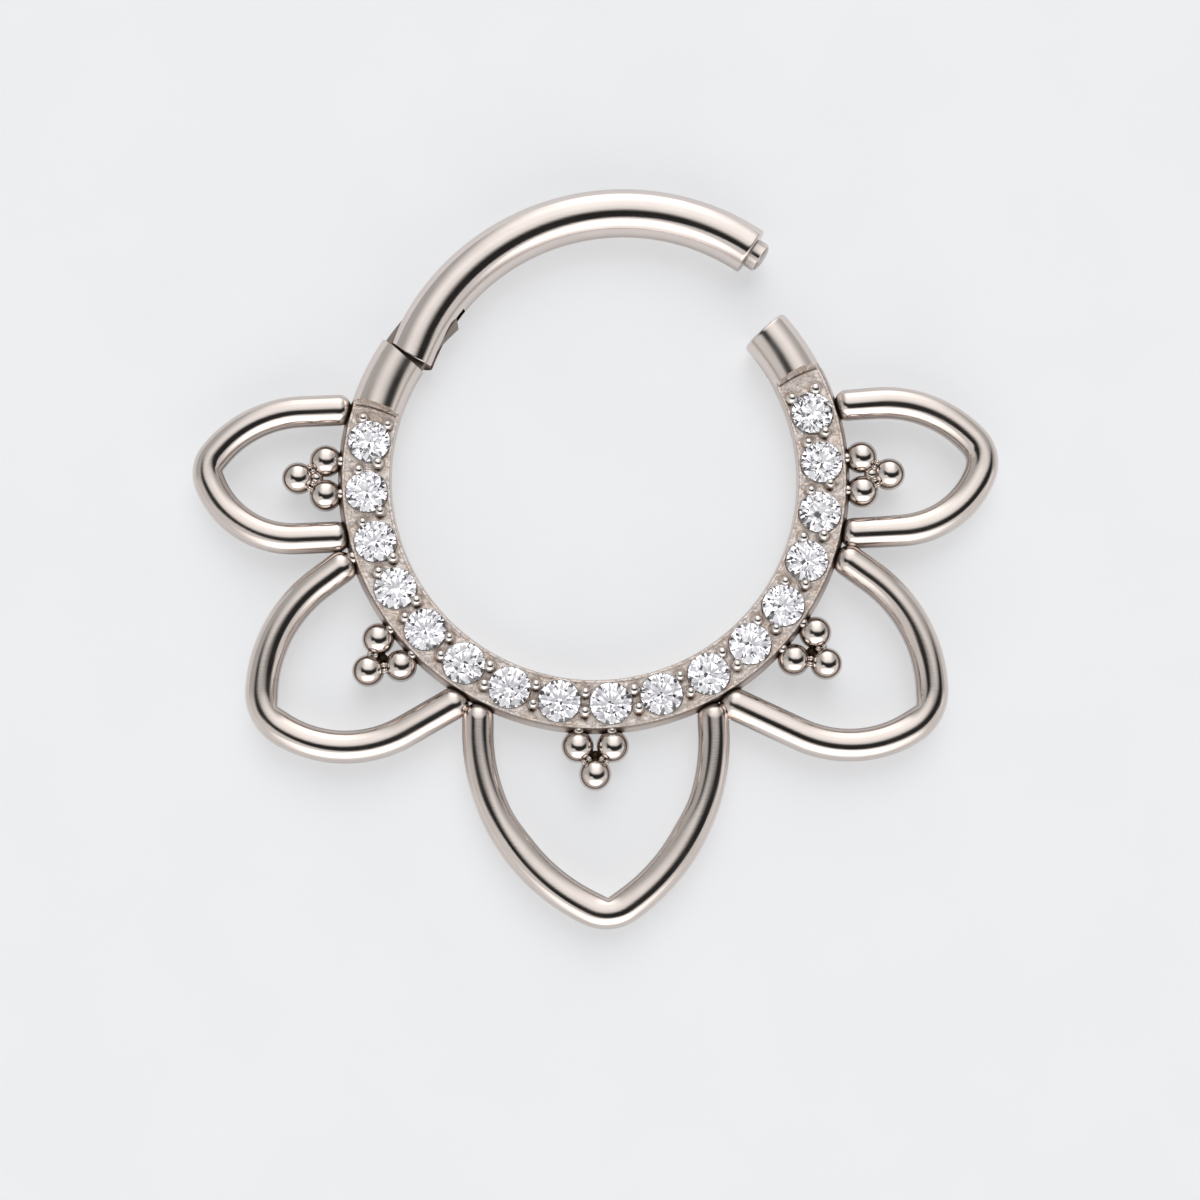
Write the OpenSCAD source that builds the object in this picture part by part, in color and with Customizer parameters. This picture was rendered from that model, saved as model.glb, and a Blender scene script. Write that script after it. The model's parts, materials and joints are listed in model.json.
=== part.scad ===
// Clicker ring: a hinged body-jewellery ring with a stone-set band, wire petals and bead clusters.
// The ring's axis is Z and its middle is the origin. The stones face +Z, and the petals fan out towards -Y.

/* [Ring] */
// Radius of the ring's wire, from the ring's middle to the middle of the wire
ring_r = 5.6; // [5.4:0.05:6]
// Diameter of the hinged arm's wire
arm_d = 1.18; // [1.1:0.02:1.2]
// Diameter of the fixed barrels and of the band
band_d = 1.26; // [1.22:0.02:1.3]
// Direction of the right barrel's open end, seen from the ring's middle
catch_dir = 41.2; // [40.5:0.1:42]
// Direction of the left barrel's end at the hinge
seam_dir = 146.5; // [146:0.1:147]

/* [Hinged arm] */
// Angle at which the arm stands open
open_angle = 13.5; // [0:0.5:40]
// Direction of the arm's free end when closed
tip_dir = 42.2; // [42:0.1:43]
// Direction of the arm's heel when closed
heel_dir = 145.9; // [145.5:0.1:146]
// Diameter of the latch post
post_d = 0.73; // [0.6:0.01:0.76]
// Length of the latch post
post_l = 0.36; // [0.3:0.02:0.4]
// Play between the latch post and its socket
post_play = 0.02; // [0.01:0.01:0.04]

/* [Hinge] */
// Direction of the hinge pin
pivot_dir = 138.5; // [138:0.1:139]
// Diameter of the hinge pin
pin_d = 0.48; // [0.4:0.02:0.5]
// Thickness of the tongue
tongue_t = 0.38; // [0.3:0.02:0.42]
// Free space on each side of the tongue
tongue_play = 0.02; // [0.01:0.01:0.04]
// Reach of the tongue's rounded end from the pin
tongue_reach = 0.9; // [0.84:0.01:0.92]
// Depth of the arm's slot past the pin
slot_reach = 1.04; // [1:0.01:1.1]

/* [Band] */
// Direction in which the flat starts, below the left barrel
flat_start = 162.5; // [162:0.1:163]
// Direction in which the flat ends, below the right barrel
flat_end = 387; // [386.5:0.1:387.5]
// Height of the flat above the wire's middle
flat_z = 0.26; // [0.24:0.01:0.3]
// Depth of the channel in the flat
channel_depth = 0.04; // [0.02:0.01:0.06]
// Width of the rim left on each side of the channel
rim_w = 0.07; // [0.05:0.01:0.09]
// Width of the lip left at each end of the channel
lip_w = 0.1; // [0.08:0.01:0.14]

/* [Stones] */
// Number of stones
stone_count = 17; // [3:1:17]
// Diameter of a stone
stone_d = 0.98; // [0.9:0.01:1]
// Radius of the row of stones
stone_row_r = 5.57; // [5.55:0.01:5.6]
// Direction of the first stone
first_stone = 171.3; // [171:0.1:171.6]
// Angle from one stone to the next
stone_pitch = 12.82; // [12.8:0.01:12.84]
// Height of the stones' girdle above the wire's middle
girdle_z = 0.29; // [0.28:0.01:0.32]
// Play around a stone in its seat
stone_play = 0.012; // [0.01:0.002:0.02]
// Diameter of a bead prong
prong_d = 0.2; // [0.16:0.02:0.22]
// Distance of a bead prong from the row's middle line
prong_off = 0.235; // [0.22:0.005:0.26]

/* [Petals and beads] */
// Diameter of the petals' wire
petal_d = 0.76; // [0.7:0.02:0.8]
// Rounding of the wire's ends
petal_round = 0.24; // [0.2:0.02:0.3]
// Radius on which the petals' ends sit in the band
root_r = 6.12; // [6.1:0.01:6.14]
// Diameter of a bead
bead_d = 0.78; // [0.74:0.02:0.8]
// Radius on which the two beads next to the band sit
near_bead_r = 6.58; // [6.57:0.01:6.6]
// Radius on which the outer bead sits
far_bead_r = 7.24; // [7.2:0.01:7.26]
// Half of the angle between the two beads next to the band
bead_spread = 3.7; // [3.6:0.05:3.8]
// Diameter of a drop of solder between two beads
solder_d = 0.24; // [0.2:0.02:0.28]

/* [Hidden] */
$fn = 96;

// Petals, one row each: direction of the first root, heading of the wire there, straight run, then radius and
// turn of the side bend, of the tip bend and of the second side bend, and the last straight run.
// A positive turn bends to the left.
root_dir = 0;
heading = 1;
first_run = 2;
side_bend = 3;
tip_bend = 5;
last_bend = 7;
last_run = 9;
PETALS = [
    [17, 5, 1.1, 2.9, -53, 0.8, -65, 2.3, -64, 1.55],
    [-17, -36, 1.1, 3.5, -52, 1.1, -61, 2.9, -56, 2.15],
    [-117.5, -90, 0.8, 4.6, 68, 0.55, 53, 4.8, 61, 0.75],
    [-161.5, 217, 1.1, 3.4, 51, 1.05, 60, 2.9, 62, 1.75],
    [164, 182.5, 1.3, 2.8, 50, 0.7, 60, 2.2, 70, 1.35],
];
// Directions of the bead clusters
CLUSTERS = [0.8, -39.1, -90, -139.2, 180.2];

pivot = ring_r * [cos(pivot_dir), sin(pivot_dir), 0];
arm_r = arm_d / 2;
band_r = band_d / 2;
past = 0.3;
pin_top = 0.38;
pin_bottom = -0.52;
pin_play = 0.01;
bore_floor = 0.4;
latch_gap = ring_r * (tip_dir - catch_dir) * PI / 180;
post_bevel = 0.06;
heel_corner = norm([ring_r * sin(heel_dir - pivot_dir), arm_r]);
cup_play = 0.03;
slot_turn = asin(slot_reach / ring_r);
tongue_turn = 7.7;
tongue_root = 2;
tongue_inner = 1;
tongue_outer = 1.2;
through = 2;
socket_swing = 0.18;
sliver = 0.01;
post_root = 0.2;
weld_over = 1.012;
channel_z = flat_z - channel_depth;
flat_half_w = sqrt(pow(band_r, 2) - pow(flat_z, 2));
lip_turn = lip_w / ring_r * 180 / PI;

// Proportions of the cut, as parts of the stone's diameter, or of the crown's height
TABLE = 0.56;
CROWN = 0.15;
STAR_DROP = 0.45;
GIRDLE = 0.03;
PAVILION = 0.43;
STAR = 0.78;
LOWER = 0.3;

function stone_name(i) = str("stone_", i < 10 ? "0" : "", i);
function on_circle(r, dir, z = 0) = [r * cos(dir), r * sin(dir), z];

// A round rod bent round the ring's middle
module ring_rod(d, from, to) {
    rotate([0, 0, from])
        rotate_extrude(angle = to - from)
            translate([ring_r, 0])
                circle(d = d);
}

// A block bent round the ring's middle, centred on the wire
module ring_block(width, low, high, from, to) {
    rotate([0, 0, from])
        rotate_extrude(angle = to - from)
            translate([ring_r - width / 2, low])
                square([width, high - low]);
}

// Puts a shape at a direction of the ring, with its Z along the wire, clockwise
module along_wire(dir) {
    translate(on_circle(ring_r, dir))
        rotate([0, 90, dir - 90])
            children();
}

// Turns what belongs to the arm from closed to open
module opened() {
    translate(pivot)
        rotate([0, 0, open_angle])
            translate(-pivot)
                children();
}

// A straight run of wire along X whose start, or end, is rounded
module rounded_run(length, d, at_end = false) {
    r = d / 2;
    turn = at_end ? [0, 90, 0] : [0, -90, 0];
    shift = at_end ? 0 : length;
    if (at_end)
        weld(d);
    translate([shift, 0, 0])
        rotate(turn)
            rotate_extrude() {
                square([r, length - petal_round]);
                square([r - petal_round, length]);
                translate([r - petal_round, length - petal_round])
                    intersection() {
                        circle(r = petal_round);
                        square(petal_round);
                    }
            }
}

// The hair's breadth of extra metal that makes one solid of two lengths of wire along X. Its poles lie inside them.
module weld(d) {
    rotate([0, 90, 0])
        rotate([0, 0, 45])
            sphere(d = d * weld_over);
}

// A bend of wire that starts along X
module wire_bend(radius, turn, d) {
    side = sign(turn);
    weld(d);
    translate([0, side * radius, 0])
        rotate([0, 0, side > 0 ? -90 : 90 + turn])
            rotate_extrude(angle = abs(turn))
                translate([radius, 0])
                    circle(d = d);
}

// Moves to the end of a bend that starts along X
module past_bend(radius, turn) {
    side = sign(turn);
    translate([radius * sin(abs(turn)), side * radius * (1 - cos(turn)), 0])
        rotate([0, 0, turn])
            children();
}

// One petal: straight run, side bend, tip bend, side bend, straight run
module petal(row) {
    translate(on_circle(root_r, row[root_dir]))
        rotate([0, 0, row[heading]]) {
            rounded_run(row[first_run], petal_d);
            translate([row[first_run], 0, 0]) {
                wire_bend(row[side_bend], row[side_bend + 1], petal_d);
                past_bend(row[side_bend], row[side_bend + 1]) {
                    wire_bend(row[tip_bend], row[tip_bend + 1], petal_d);
                    past_bend(row[tip_bend], row[tip_bend + 1]) {
                        wire_bend(row[last_bend], row[last_bend + 1], petal_d);
                        past_bend(row[last_bend], row[last_bend + 1])
                            rounded_run(row[last_run], petal_d, at_end = true);
                    }
                }
            }
        }
}

// A bead in the ring's plane, whose own seam faces the direction given, away from what it touches
module bead(place, away) {
    translate(place)
        rotate([0, 0, away])
            sphere(d = bead_d);
}

// A drop of solder halfway between two beads
module solder(from, to) {
    span = to - from;
    translate((from + to) / 2)
        rotate([0, 0, atan2(span[1], span[0]) + 90])
            sphere(d = solder_d);
}

// Three beads, two against the band and one outside them
module bead_cluster(dir) {
    near_a = on_circle(near_bead_r, dir - bead_spread);
    near_b = on_circle(near_bead_r, dir + bead_spread);
    far = on_circle(far_bead_r, dir);
    bead(near_a, dir - 90);
    bead(near_b, dir + 90);
    bead(far, dir);
    solder(near_a, near_b);
    solder(near_a, far);
    solder(near_b, far);
}

// The hollow that a stone sits in
module stone_seat() {
    r = stone_d / 2 + stone_play;
    low = -stone_d * PAVILION - 2 * stone_play;
    rotate_extrude()
        polygon([[0, low], [r, -stone_play], [r, past], [0, past]]);
}

// The two bead prongs of one gap between stones
module prong_pair() {
    for (side = [-1, 1])
        translate([side * prong_off, 0, channel_z])
            sphere(d = prong_d);
}

// The band and the two barrels, with the flat, the channel, the seats and the prongs
module band() {
    difference() {
        ring_rod(band_d, seam_dir, 360 + catch_dir);
        ring_block(band_d + past, flat_z, band_d, flat_start, flat_end);
        ring_block(2 * (flat_half_w - rim_w), channel_z, band_d, flat_start + lip_turn, flat_end - lip_turn);
        for (i = [0:stone_count - 1])
            translate(on_circle(stone_row_r, first_stone + i * stone_pitch, girdle_z))
                stone_seat();
        translate(pivot)
            sphere(r = heel_corner + cup_play);
        socket();
    }
    for (i = [0:stone_count])
        rotate([0, 0, first_stone + (i - 0.5) * stone_pitch])
            translate([stone_row_r, 0, 0])
                prong_pair();
}

// The hollow for the latch post, widened outwards for its swing
module socket() {
    r = post_d / 2 + post_play;
    depth = post_l - latch_gap;
    along_wire(catch_dir) {
        cylinder(h = depth + post_play, r = r);
        hull() {
            translate([0, 0, depth - post_bevel])
                cylinder(h = sliver, r = r, $fn = 32);
            translate([0, socket_swing, -sliver])
                cylinder(h = sliver, r = r, $fn = 32);
        }
    }
}

// The tongue that the arm's two cheeks straddle
module tongue() {
    difference() {
        intersection() {
            ring_rod(arm_d, pivot_dir - tongue_turn, seam_dir + tongue_root);
            translate([0, 0, -tongue_t / 2])
                linear_extrude(tongue_t)
                    union() {
                        translate([pivot[0], pivot[1]])
                            circle(r = tongue_reach);
                        translate([pivot[0], pivot[1]])
                            rotate(pivot_dir)
                                translate([-tongue_inner, 0])
                                    square([2 * tongue_inner, tongue_outer]);
                    }
        }
        translate([pivot[0], pivot[1], -through / 2])
            cylinder(h = through, r = pin_d / 2 + 2 * pin_play);
    }
}

module jewelled_frame() {
    color("#cfc4bb") {
        band();
        tongue();
        for (row = PETALS)
            petal(row);
        for (dir = CLUSTERS)
            bead_cluster(dir);
    }
}

module hinged_arm() {
    color("#d3c9c1")
        opened() {
            difference() {
                ring_rod(arm_d, tip_dir, heel_dir);
                ring_block(arm_d + past, -tongue_t / 2 - tongue_play, tongue_t / 2 + tongue_play,
                    pivot_dir - slot_turn, heel_dir + past);
                translate([pivot[0], pivot[1], bore_floor - through])
                    cylinder(h = through, r = pin_d / 2 + pin_play);
            }
            latch_post();
        }
}

// The short post on the arm's free end
module latch_post() {
    r = post_d / 2;
    along_wire(tip_dir)
        rotate_extrude()
            polygon([[0, -post_root], [r, -post_root], [r, post_l - post_bevel], [r - post_bevel, post_l], [0, post_l]]);
}

module hinge_pin() {
    color("#b9aea5")
        opened()
            translate([pivot[0], pivot[1], pin_bottom])
                cylinder(h = pin_top - pin_bottom, d = pin_d);
}

// A round brilliant: a table of eight corners, sixteen girdle corners and a pointed pavilion
module brilliant() {
    r = stone_d / 2;
    table_z = stone_d * (CROWN + GIRDLE);
    star_z = table_z - stone_d * CROWN * STAR_DROP;
    girdle_top = stone_d * GIRDLE;
    lower_z = -stone_d * PAVILION * (1 - LOWER);
    points = concat(
        [for (i = [0:7]) on_circle(r * TABLE, i * 45, table_z)],
        [for (i = [0:7]) on_circle(r * STAR, i * 45 + 22.5, star_z)],
        [for (i = [0:15]) on_circle(r, i * 22.5, girdle_top)],
        [for (i = [0:15]) on_circle(r, i * 22.5, 0)],
        [for (i = [0:7]) on_circle(r * LOWER, i * 45 + 22.5, lower_z)],
        [[0, 0, -stone_d * PAVILION]]
    );
    star = 8;
    top = 16;
    bottom = 32;
    lower = 48;
    culet = 56;
    faces = concat(
        [for (i = [1:6]) [0, i + 1, i]],
        [for (i = [0:7]) [i, (i + 1) % 8, star + i]],
        [for (i = [0:7]) [i, star + i, top + 2 * i]],
        [for (i = [0:7]) [i, top + 2 * i, star + (i + 7) % 8]],
        [for (i = [0:7]) [star + i, top + 2 * i + 1, top + 2 * i]],
        [for (i = [0:7]) [star + i, top + (2 * i + 2) % 16, top + 2 * i + 1]],
        [for (i = [0:15]) [top + i, top + (i + 1) % 16, bottom + i]],
        [for (i = [0:15]) [top + (i + 1) % 16, bottom + (i + 1) % 16, bottom + i]],
        [for (i = [0:7]) [bottom + 2 * i, bottom + 2 * i + 1, lower + i]],
        [for (i = [0:7]) [bottom + 2 * i + 1, bottom + (2 * i + 2) % 16, lower + i]],
        [for (i = [0:7]) [bottom + (2 * i + 2) % 16, lower + (i + 1) % 8, lower + i]],
        [for (i = [0:7]) [lower + i, lower + (i + 1) % 8, culet]]
    );
    polyhedron(points, faces);
}

module stone(i) {
    dir = first_stone + (i - 1) * stone_pitch;
    color("#eef0f6")
        translate(on_circle(stone_row_r, dir, girdle_z))
            rotate([0, 0, dir])
                brilliant();
}

jewelled_frame();
hinged_arm();
hinge_pin();
for (i = [1:17])
    stone(i);
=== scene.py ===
"""Looks of the clicker ring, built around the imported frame.

The ring lies on its back with its stones up, as the frame does. The classes hold their sizes in
millimetres, and Shape.piece turns millimetres into the frame's metres. Directions are degrees round the
ring's middle, from +X.
"""

import json
import logging
import math
from dataclasses import dataclass, field
from enum import Enum

import bpy
import numpy as np
from mathutils import Matrix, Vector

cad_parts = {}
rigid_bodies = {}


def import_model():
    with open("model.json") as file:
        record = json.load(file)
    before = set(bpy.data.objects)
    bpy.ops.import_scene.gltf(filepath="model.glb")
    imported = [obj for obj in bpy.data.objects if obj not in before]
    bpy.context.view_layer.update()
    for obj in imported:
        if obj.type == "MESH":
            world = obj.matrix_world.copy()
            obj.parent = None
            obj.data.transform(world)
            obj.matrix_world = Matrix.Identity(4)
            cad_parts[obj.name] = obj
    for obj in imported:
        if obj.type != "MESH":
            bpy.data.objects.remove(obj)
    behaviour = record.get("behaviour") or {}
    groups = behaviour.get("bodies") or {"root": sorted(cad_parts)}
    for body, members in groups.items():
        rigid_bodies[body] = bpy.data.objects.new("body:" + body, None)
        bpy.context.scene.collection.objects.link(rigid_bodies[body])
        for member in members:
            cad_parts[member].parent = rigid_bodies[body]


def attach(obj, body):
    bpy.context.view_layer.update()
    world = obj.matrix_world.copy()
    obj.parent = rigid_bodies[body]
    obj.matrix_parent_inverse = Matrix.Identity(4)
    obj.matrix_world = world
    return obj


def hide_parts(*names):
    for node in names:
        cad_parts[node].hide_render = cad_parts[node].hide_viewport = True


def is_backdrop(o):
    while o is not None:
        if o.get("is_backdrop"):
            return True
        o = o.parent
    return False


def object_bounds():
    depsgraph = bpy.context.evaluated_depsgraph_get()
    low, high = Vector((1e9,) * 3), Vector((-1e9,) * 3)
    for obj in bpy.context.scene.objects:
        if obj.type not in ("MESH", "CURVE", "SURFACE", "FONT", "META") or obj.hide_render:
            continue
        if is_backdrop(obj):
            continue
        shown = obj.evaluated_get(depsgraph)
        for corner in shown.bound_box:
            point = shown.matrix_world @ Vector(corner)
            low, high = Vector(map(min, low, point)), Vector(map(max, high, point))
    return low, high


LOG = logging.getLogger("clicker_ring")
MM = 0.001
FULL_TURN = 2 * math.pi
UPRIGHT = np.array([0.0, 0.0, 1.0])
SHARP_EDGE = 34.0

Colour = tuple[float, float, float]


class Body(Enum):
    """The bodies that a piece can ride on."""

    FRAME = "frame"
    ARM = "arm"


class Slot(Enum):
    """The record's material slots."""

    FRAME_METAL = "frame_metal"
    ARM_METAL = "arm_metal"
    STONES = "stones"


def on_circle(radius: float, direction: float | np.ndarray) -> np.ndarray:
    """Point, or points, at a radius and direction from the ring's middle, in the ring's plane."""
    angle = np.radians(direction)
    return np.stack([radius * np.cos(angle), radius * np.sin(angle)], -1)


def smooth_step(value: np.ndarray, low: float, high: float) -> np.ndarray:
    """Goes from 0 at low to 1 at high along 3t^2 - 2t^3; low may be the larger."""
    t = np.clip((value - low) / (high - low), 0, 1)
    return t * t * (3 - 2 * t)


def bell(distance: np.ndarray, width: float) -> np.ndarray:
    """A Gaussian of the distance, exp(-(distance / width)^2), which is 1 at no distance."""
    return np.exp(-((distance / width) ** 2))


def crevice(gap: np.ndarray, reach: float) -> np.ndarray:
    """Painted shade where a gap is left between two surfaces: 1 where they touch, and a Gaussian of the
    gap.
    """
    return bell(np.maximum(gap, 0), reach)


def painted_reflection_line(inward: np.ndarray, up: np.ndarray, angle: float, width: float = 6.0) -> np.ndarray:
    """A thin painted dark reflection line along a wire's inner side, a Gaussian of the angle over its
    middle plane.
    """
    return bell(np.degrees(np.arctan2(up, inward)) - angle, width)


def nearest(places: np.ndarray, centres: np.ndarray) -> np.ndarray:
    """Distance from each place to the nearest of several centres."""
    return np.linalg.norm(places[..., None, :] - centres, axis=-1).min(-1)


@dataclass
class Shape:
    """A closed surface.

    Args:
        points: Its points in millimetres, one row each.
        faces: Its faces in blocks; each row of a block holds one face's point numbers, running
            anticlockwise seen from outside.
        marks: Values of each point, by name, that materials read.
    """

    points: np.ndarray
    faces: list[np.ndarray]
    marks: dict[str, np.ndarray] = field(default_factory=dict)

    @staticmethod
    def from_rows(rows: np.ndarray) -> "Shape":
        """Closes a grid whose every row is a closed ring of points, with a face on the first and last ring.

        Args:
            rows: Points of shape (rows, columns, 3); columns turn from left to up, seen along the rows.

        Returns:
            The closed surface.
        """
        count, around = rows.shape[:2]
        index = np.arange(count * around).reshape(count, around)
        here, ahead = index[:-1], index[1:]
        quads = np.stack([here, np.roll(here, -1, 1), np.roll(ahead, -1, 1), ahead], -1)
        return Shape(rows.reshape(-1, 3), [quads.reshape(-1, 4), index[:1, ::-1], index[-1:]])

    @staticmethod
    def together(shapes: "list[Shape]") -> "Shape":
        """One shape that holds several; a mark that one of them lacks is 0 there."""
        starts = np.cumsum([0, *[len(shape.points) for shape in shapes[:-1]]])
        faces = [block + start for shape, start in zip(shapes, starts) for block in shape.faces]
        marks = {}
        for name in sorted({name for shape in shapes for name in shape.marks}):
            values = [shape.marks.get(name, np.zeros(len(shape.points))) for shape in shapes]
            marks[name] = np.concatenate(values)
        return Shape(np.vstack([shape.points for shape in shapes]), faces, marks)

    def marked(self, joint: np.ndarray | float) -> "Shape":
        """The same shape with a mark of painted shade for each point, from 0 where there is none to 1 where
        darkest.
        """
        values = np.broadcast_to(np.asarray(joint, float), (len(self.points),))
        return Shape(self.points, self.faces, {**self.marks, "joint": values})

    def piece(self, name: str, crease: float | None = SHARP_EDGE) -> bpy.types.Object:
        """Makes the shape an object at the origin.

        Args:
            name: The object's name.
            crease: Angle in degrees past which an edge stays sharp; None leaves every face flat.

        Returns:
            The new object, linked to the scene.
        """
        mesh = bpy.data.meshes.new(name)
        faces = [face for block in self.faces for face in block.tolist()]
        mesh.from_pydata((self.points * MM).tolist(), [], faces)
        mesh.polygons.foreach_set("use_smooth", np.full(len(mesh.polygons), crease is not None))
        if crease is not None:
            mesh.set_sharp_from_angle(angle=math.radians(crease))
        mesh.validate()
        for mark, values in self.marks.items():
            attribute = mesh.attributes.new(mark, "FLOAT", "POINT")
            attribute.data.foreach_set("value", np.ascontiguousarray(values, dtype=np.float32))
        made = bpy.data.objects.new(name, mesh)
        bpy.context.scene.collection.objects.link(made)
        return made


@dataclass(frozen=True)
class Stretch:
    """One length of a bent wire's middle line, and how far it turns to the left, in degrees."""

    length: float
    turn: float = 0.0


@dataclass
class BentWire:
    """The middle line of a wire in the ring's plane: straight runs and arcs joined end to end."""

    start: np.ndarray
    heading: float
    stretches: list[Stretch]

    @staticmethod
    def round_the_ring(radius: float, begin: float, end: float) -> "BentWire":
        """An arc about the ring's middle, anticlockwise from one direction to another."""
        turn = end - begin
        return BentWire(on_circle(radius, begin), begin + 90, [Stretch(radius * math.radians(turn), turn)])

    def length(self) -> float:
        """The wire's whole length."""
        return sum(stretch.length for stretch in self.stretches)

    def at(self, run: np.ndarray) -> tuple[np.ndarray, np.ndarray]:
        """Points and headings at distances along the wire.

        On a stretch of curvature c the heading grows as h + c s, and the point moves by the integral of
        its cosine and sine, (sin(h + c s) - sin h) / c and (cos h - cos(h + c s)) / c.

        Args:
            run: Distances from the wire's start.

        Returns:
            The points, of shape (n, 2), and the headings in radians.
        """
        heading = math.radians(self.heading)
        points = np.tile(np.asarray(self.start, float), (len(run), 1))
        headings = np.full(len(run), heading)
        begin = 0.0
        for stretch in self.stretches:
            step = np.clip(run - begin, 0, stretch.length)
            curve = math.radians(stretch.turn) / stretch.length
            if curve:
                points[:, 0] += (np.sin(heading + curve * step) - math.sin(heading)) / curve
                points[:, 1] += (math.cos(heading) - np.cos(heading + curve * step)) / curve
            else:
                points[:, 0] += step * math.cos(heading)
                points[:, 1] += step * math.sin(heading)
            headings += curve * step
            heading += math.radians(stretch.turn)
            begin += stretch.length
        return points, headings

    def carry(self, run: np.ndarray, across: np.ndarray, up: np.ndarray) -> np.ndarray:
        """Carries a profile along the wire.

        Args:
            run: Distances along the wire, one for each row.
            across: Offsets to the wire's left, of shape (rows, columns).
            up: Offsets along +Z, of the same shape.

        Returns:
            Points of shape (rows, columns, 3).
        """
        points, headings = self.at(run)
        left = np.stack([-np.sin(headings), np.cos(headings)], -1)
        flat = points[:, None] + across[..., None] * left[:, None]
        return np.concatenate([flat, up[..., None]], -1)

    def pinch(self, run: np.ndarray, number: int, radius: float) -> np.ndarray:
        """How far the wire's inner side gives way so that a bend's inner edge ends in a sharp corner.

        The inner edge of a bend of radius b lies b - r from the bend's centre. The corner's sides touch
        that circle where the bend begins and ends, so at an angle a from its middle they lie
        (b - r) / cos(half - |a|) away.

        Args:
            run: Distances along the wire.
            number: Which stretch is the bend.
            radius: The wire's radius r.

        Returns:
            The distance at each run.
        """
        bend = self.stretches[number]
        half = math.radians(abs(bend.turn)) / 2
        bend_radius = bend.length / (2 * half)
        away = np.minimum(np.abs(run - self.middle_of(number)) / bend_radius, half)
        return (bend_radius - radius) * (1 / np.cos(half - away) - 1)

    def middle_of(self, number: int) -> float:
        """Run at the middle of a stretch."""
        before = sum(stretch.length for stretch in self.stretches[:number])
        return before + self.stretches[number].length / 2

    def rod(
        self,
        radius: float,
        rounding: tuple[float, float],
        step: float,
        around: int,
        inner: int = 1,
        line_angle: float = 45.0,
        corner: int | None = None,
        sharpness: float = 1.0,
        swell: float = 0.0,
    ) -> Shape:
        """A round rod along the wire whose ends are rounded over.

        Each end's radius grows along a quarter circle, as rounding * sin(a), while the run grows as
        rounding * (1 - cos(a)).

        Args:
            radius: The rod's radius.
            rounding: Radius of the rounding at the start and at the end, where 0 leaves a flat end.
            step: Distance between rings of points.
            around: Points in a ring.
            inner: 1 where the wire's left is its inner side, -1 where its right is.
            line_angle: Height of the inner side's painted reflection line, as an angle over the wire's
                middle plane.
            corner: Number of the bend whose inner edge ends in a sharp corner.
            sharpness: 1 for a full corner, less for a rounder one.
            swell: How much thicker the wire is on its inner side round that bend.

        Returns:
            The closed rod, with its painted reflection line marked; near a petal's ends its outer side has
            one too.
        """
        quarter = np.linspace(0, math.pi / 2, 10)
        begin, end = rounding
        last = quarter if end else quarter[-1:]
        length = self.length()
        middle = np.linspace(begin, length - end, max(3, round(length / step)))[1:-1]
        if corner is not None:
            middle = np.sort(np.append(middle, self.middle_of(corner)))
        end_runs = (length - end * (1 - np.cos(last)))[::-1]
        run = np.concatenate([begin * (1 - np.cos(quarter)), middle, end_runs])
        begin_radii = radius - begin * (1 - np.sin(quarter))
        end_radii = (radius - end * (1 - np.sin(last)))[::-1]
        radii = np.concatenate([begin_radii, np.full(len(middle), radius), end_radii])
        angle = np.linspace(0, FULL_TURN, around, endpoint=False)
        across = radii[:, None] * np.cos(angle)
        up = radii[:, None] * np.sin(angle)
        # Painted reflection line on the inner side, and near a petal's ends on the outer side too.
        line = painted_reflection_line(inner * across, up, line_angle)
        if corner is not None:
            line_stops, line_full = 2.2, 0.9
            swell_stops, swell_full = 3.8, 2.6
            near_end = smooth_step(np.minimum(run, length - run), line_stops, line_full)[:, None]
            line = np.maximum(line, painted_reflection_line(-inner * across, up, line_angle) * near_end)
            inside = inner * across / radius
            near_corner = smooth_step(np.abs(run - self.middle_of(corner)), swell_stops, swell_full)
            thicker = swell * near_corner[:, None] * smooth_step(inside, 0, 1)
            pinched = sharpness * self.pinch(run, corner, radius)[:, None] * smooth_step(inside, 0.5, 1)
            across = across + inner * (thicker - pinched)
        return Shape.from_rows(self.carry(run, across, up)).marked(line.ravel())


def turned(foot: np.ndarray, axis: np.ndarray, along: np.ndarray, radii: np.ndarray, around: int) -> Shape:
    """A shape turned on a lathe: a ring of each radius at each distance along the axis.

    Args:
        foot: Point on the axis where the distance is 0.
        axis: Unit vector of the axis.
        along: Distances along the axis, growing.
        radii: Radius at each distance.
        around: Points in a ring.

    Returns:
        The closed shape.
    """
    axis = np.asarray(axis, float)
    helper = UPRIGHT if abs(axis[2]) < 0.9 else np.array([1.0, 0.0, 0.0])
    first = np.cross(helper, axis)
    first /= np.linalg.norm(first)
    second = np.cross(axis, first)
    angle = np.linspace(0, FULL_TURN, around, endpoint=False)
    ring = np.cos(angle)[:, None] * first + np.sin(angle)[:, None] * second
    rows = foot + along[:, None, None] * axis + radii[:, None, None] * ring
    return Shape.from_rows(rows)


def ball(centre: np.ndarray, radius: float, axis: np.ndarray, rings: int, around: int) -> Shape:
    """A sphere: radius * sin(t) round its axis at radius * -cos(t) along it, with tiny flat poles."""
    pole = 0.02
    polar = np.linspace(pole, math.pi - pole, rings)
    return turned(centre, axis, -radius * np.cos(polar), radius * np.sin(polar), around)


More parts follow.
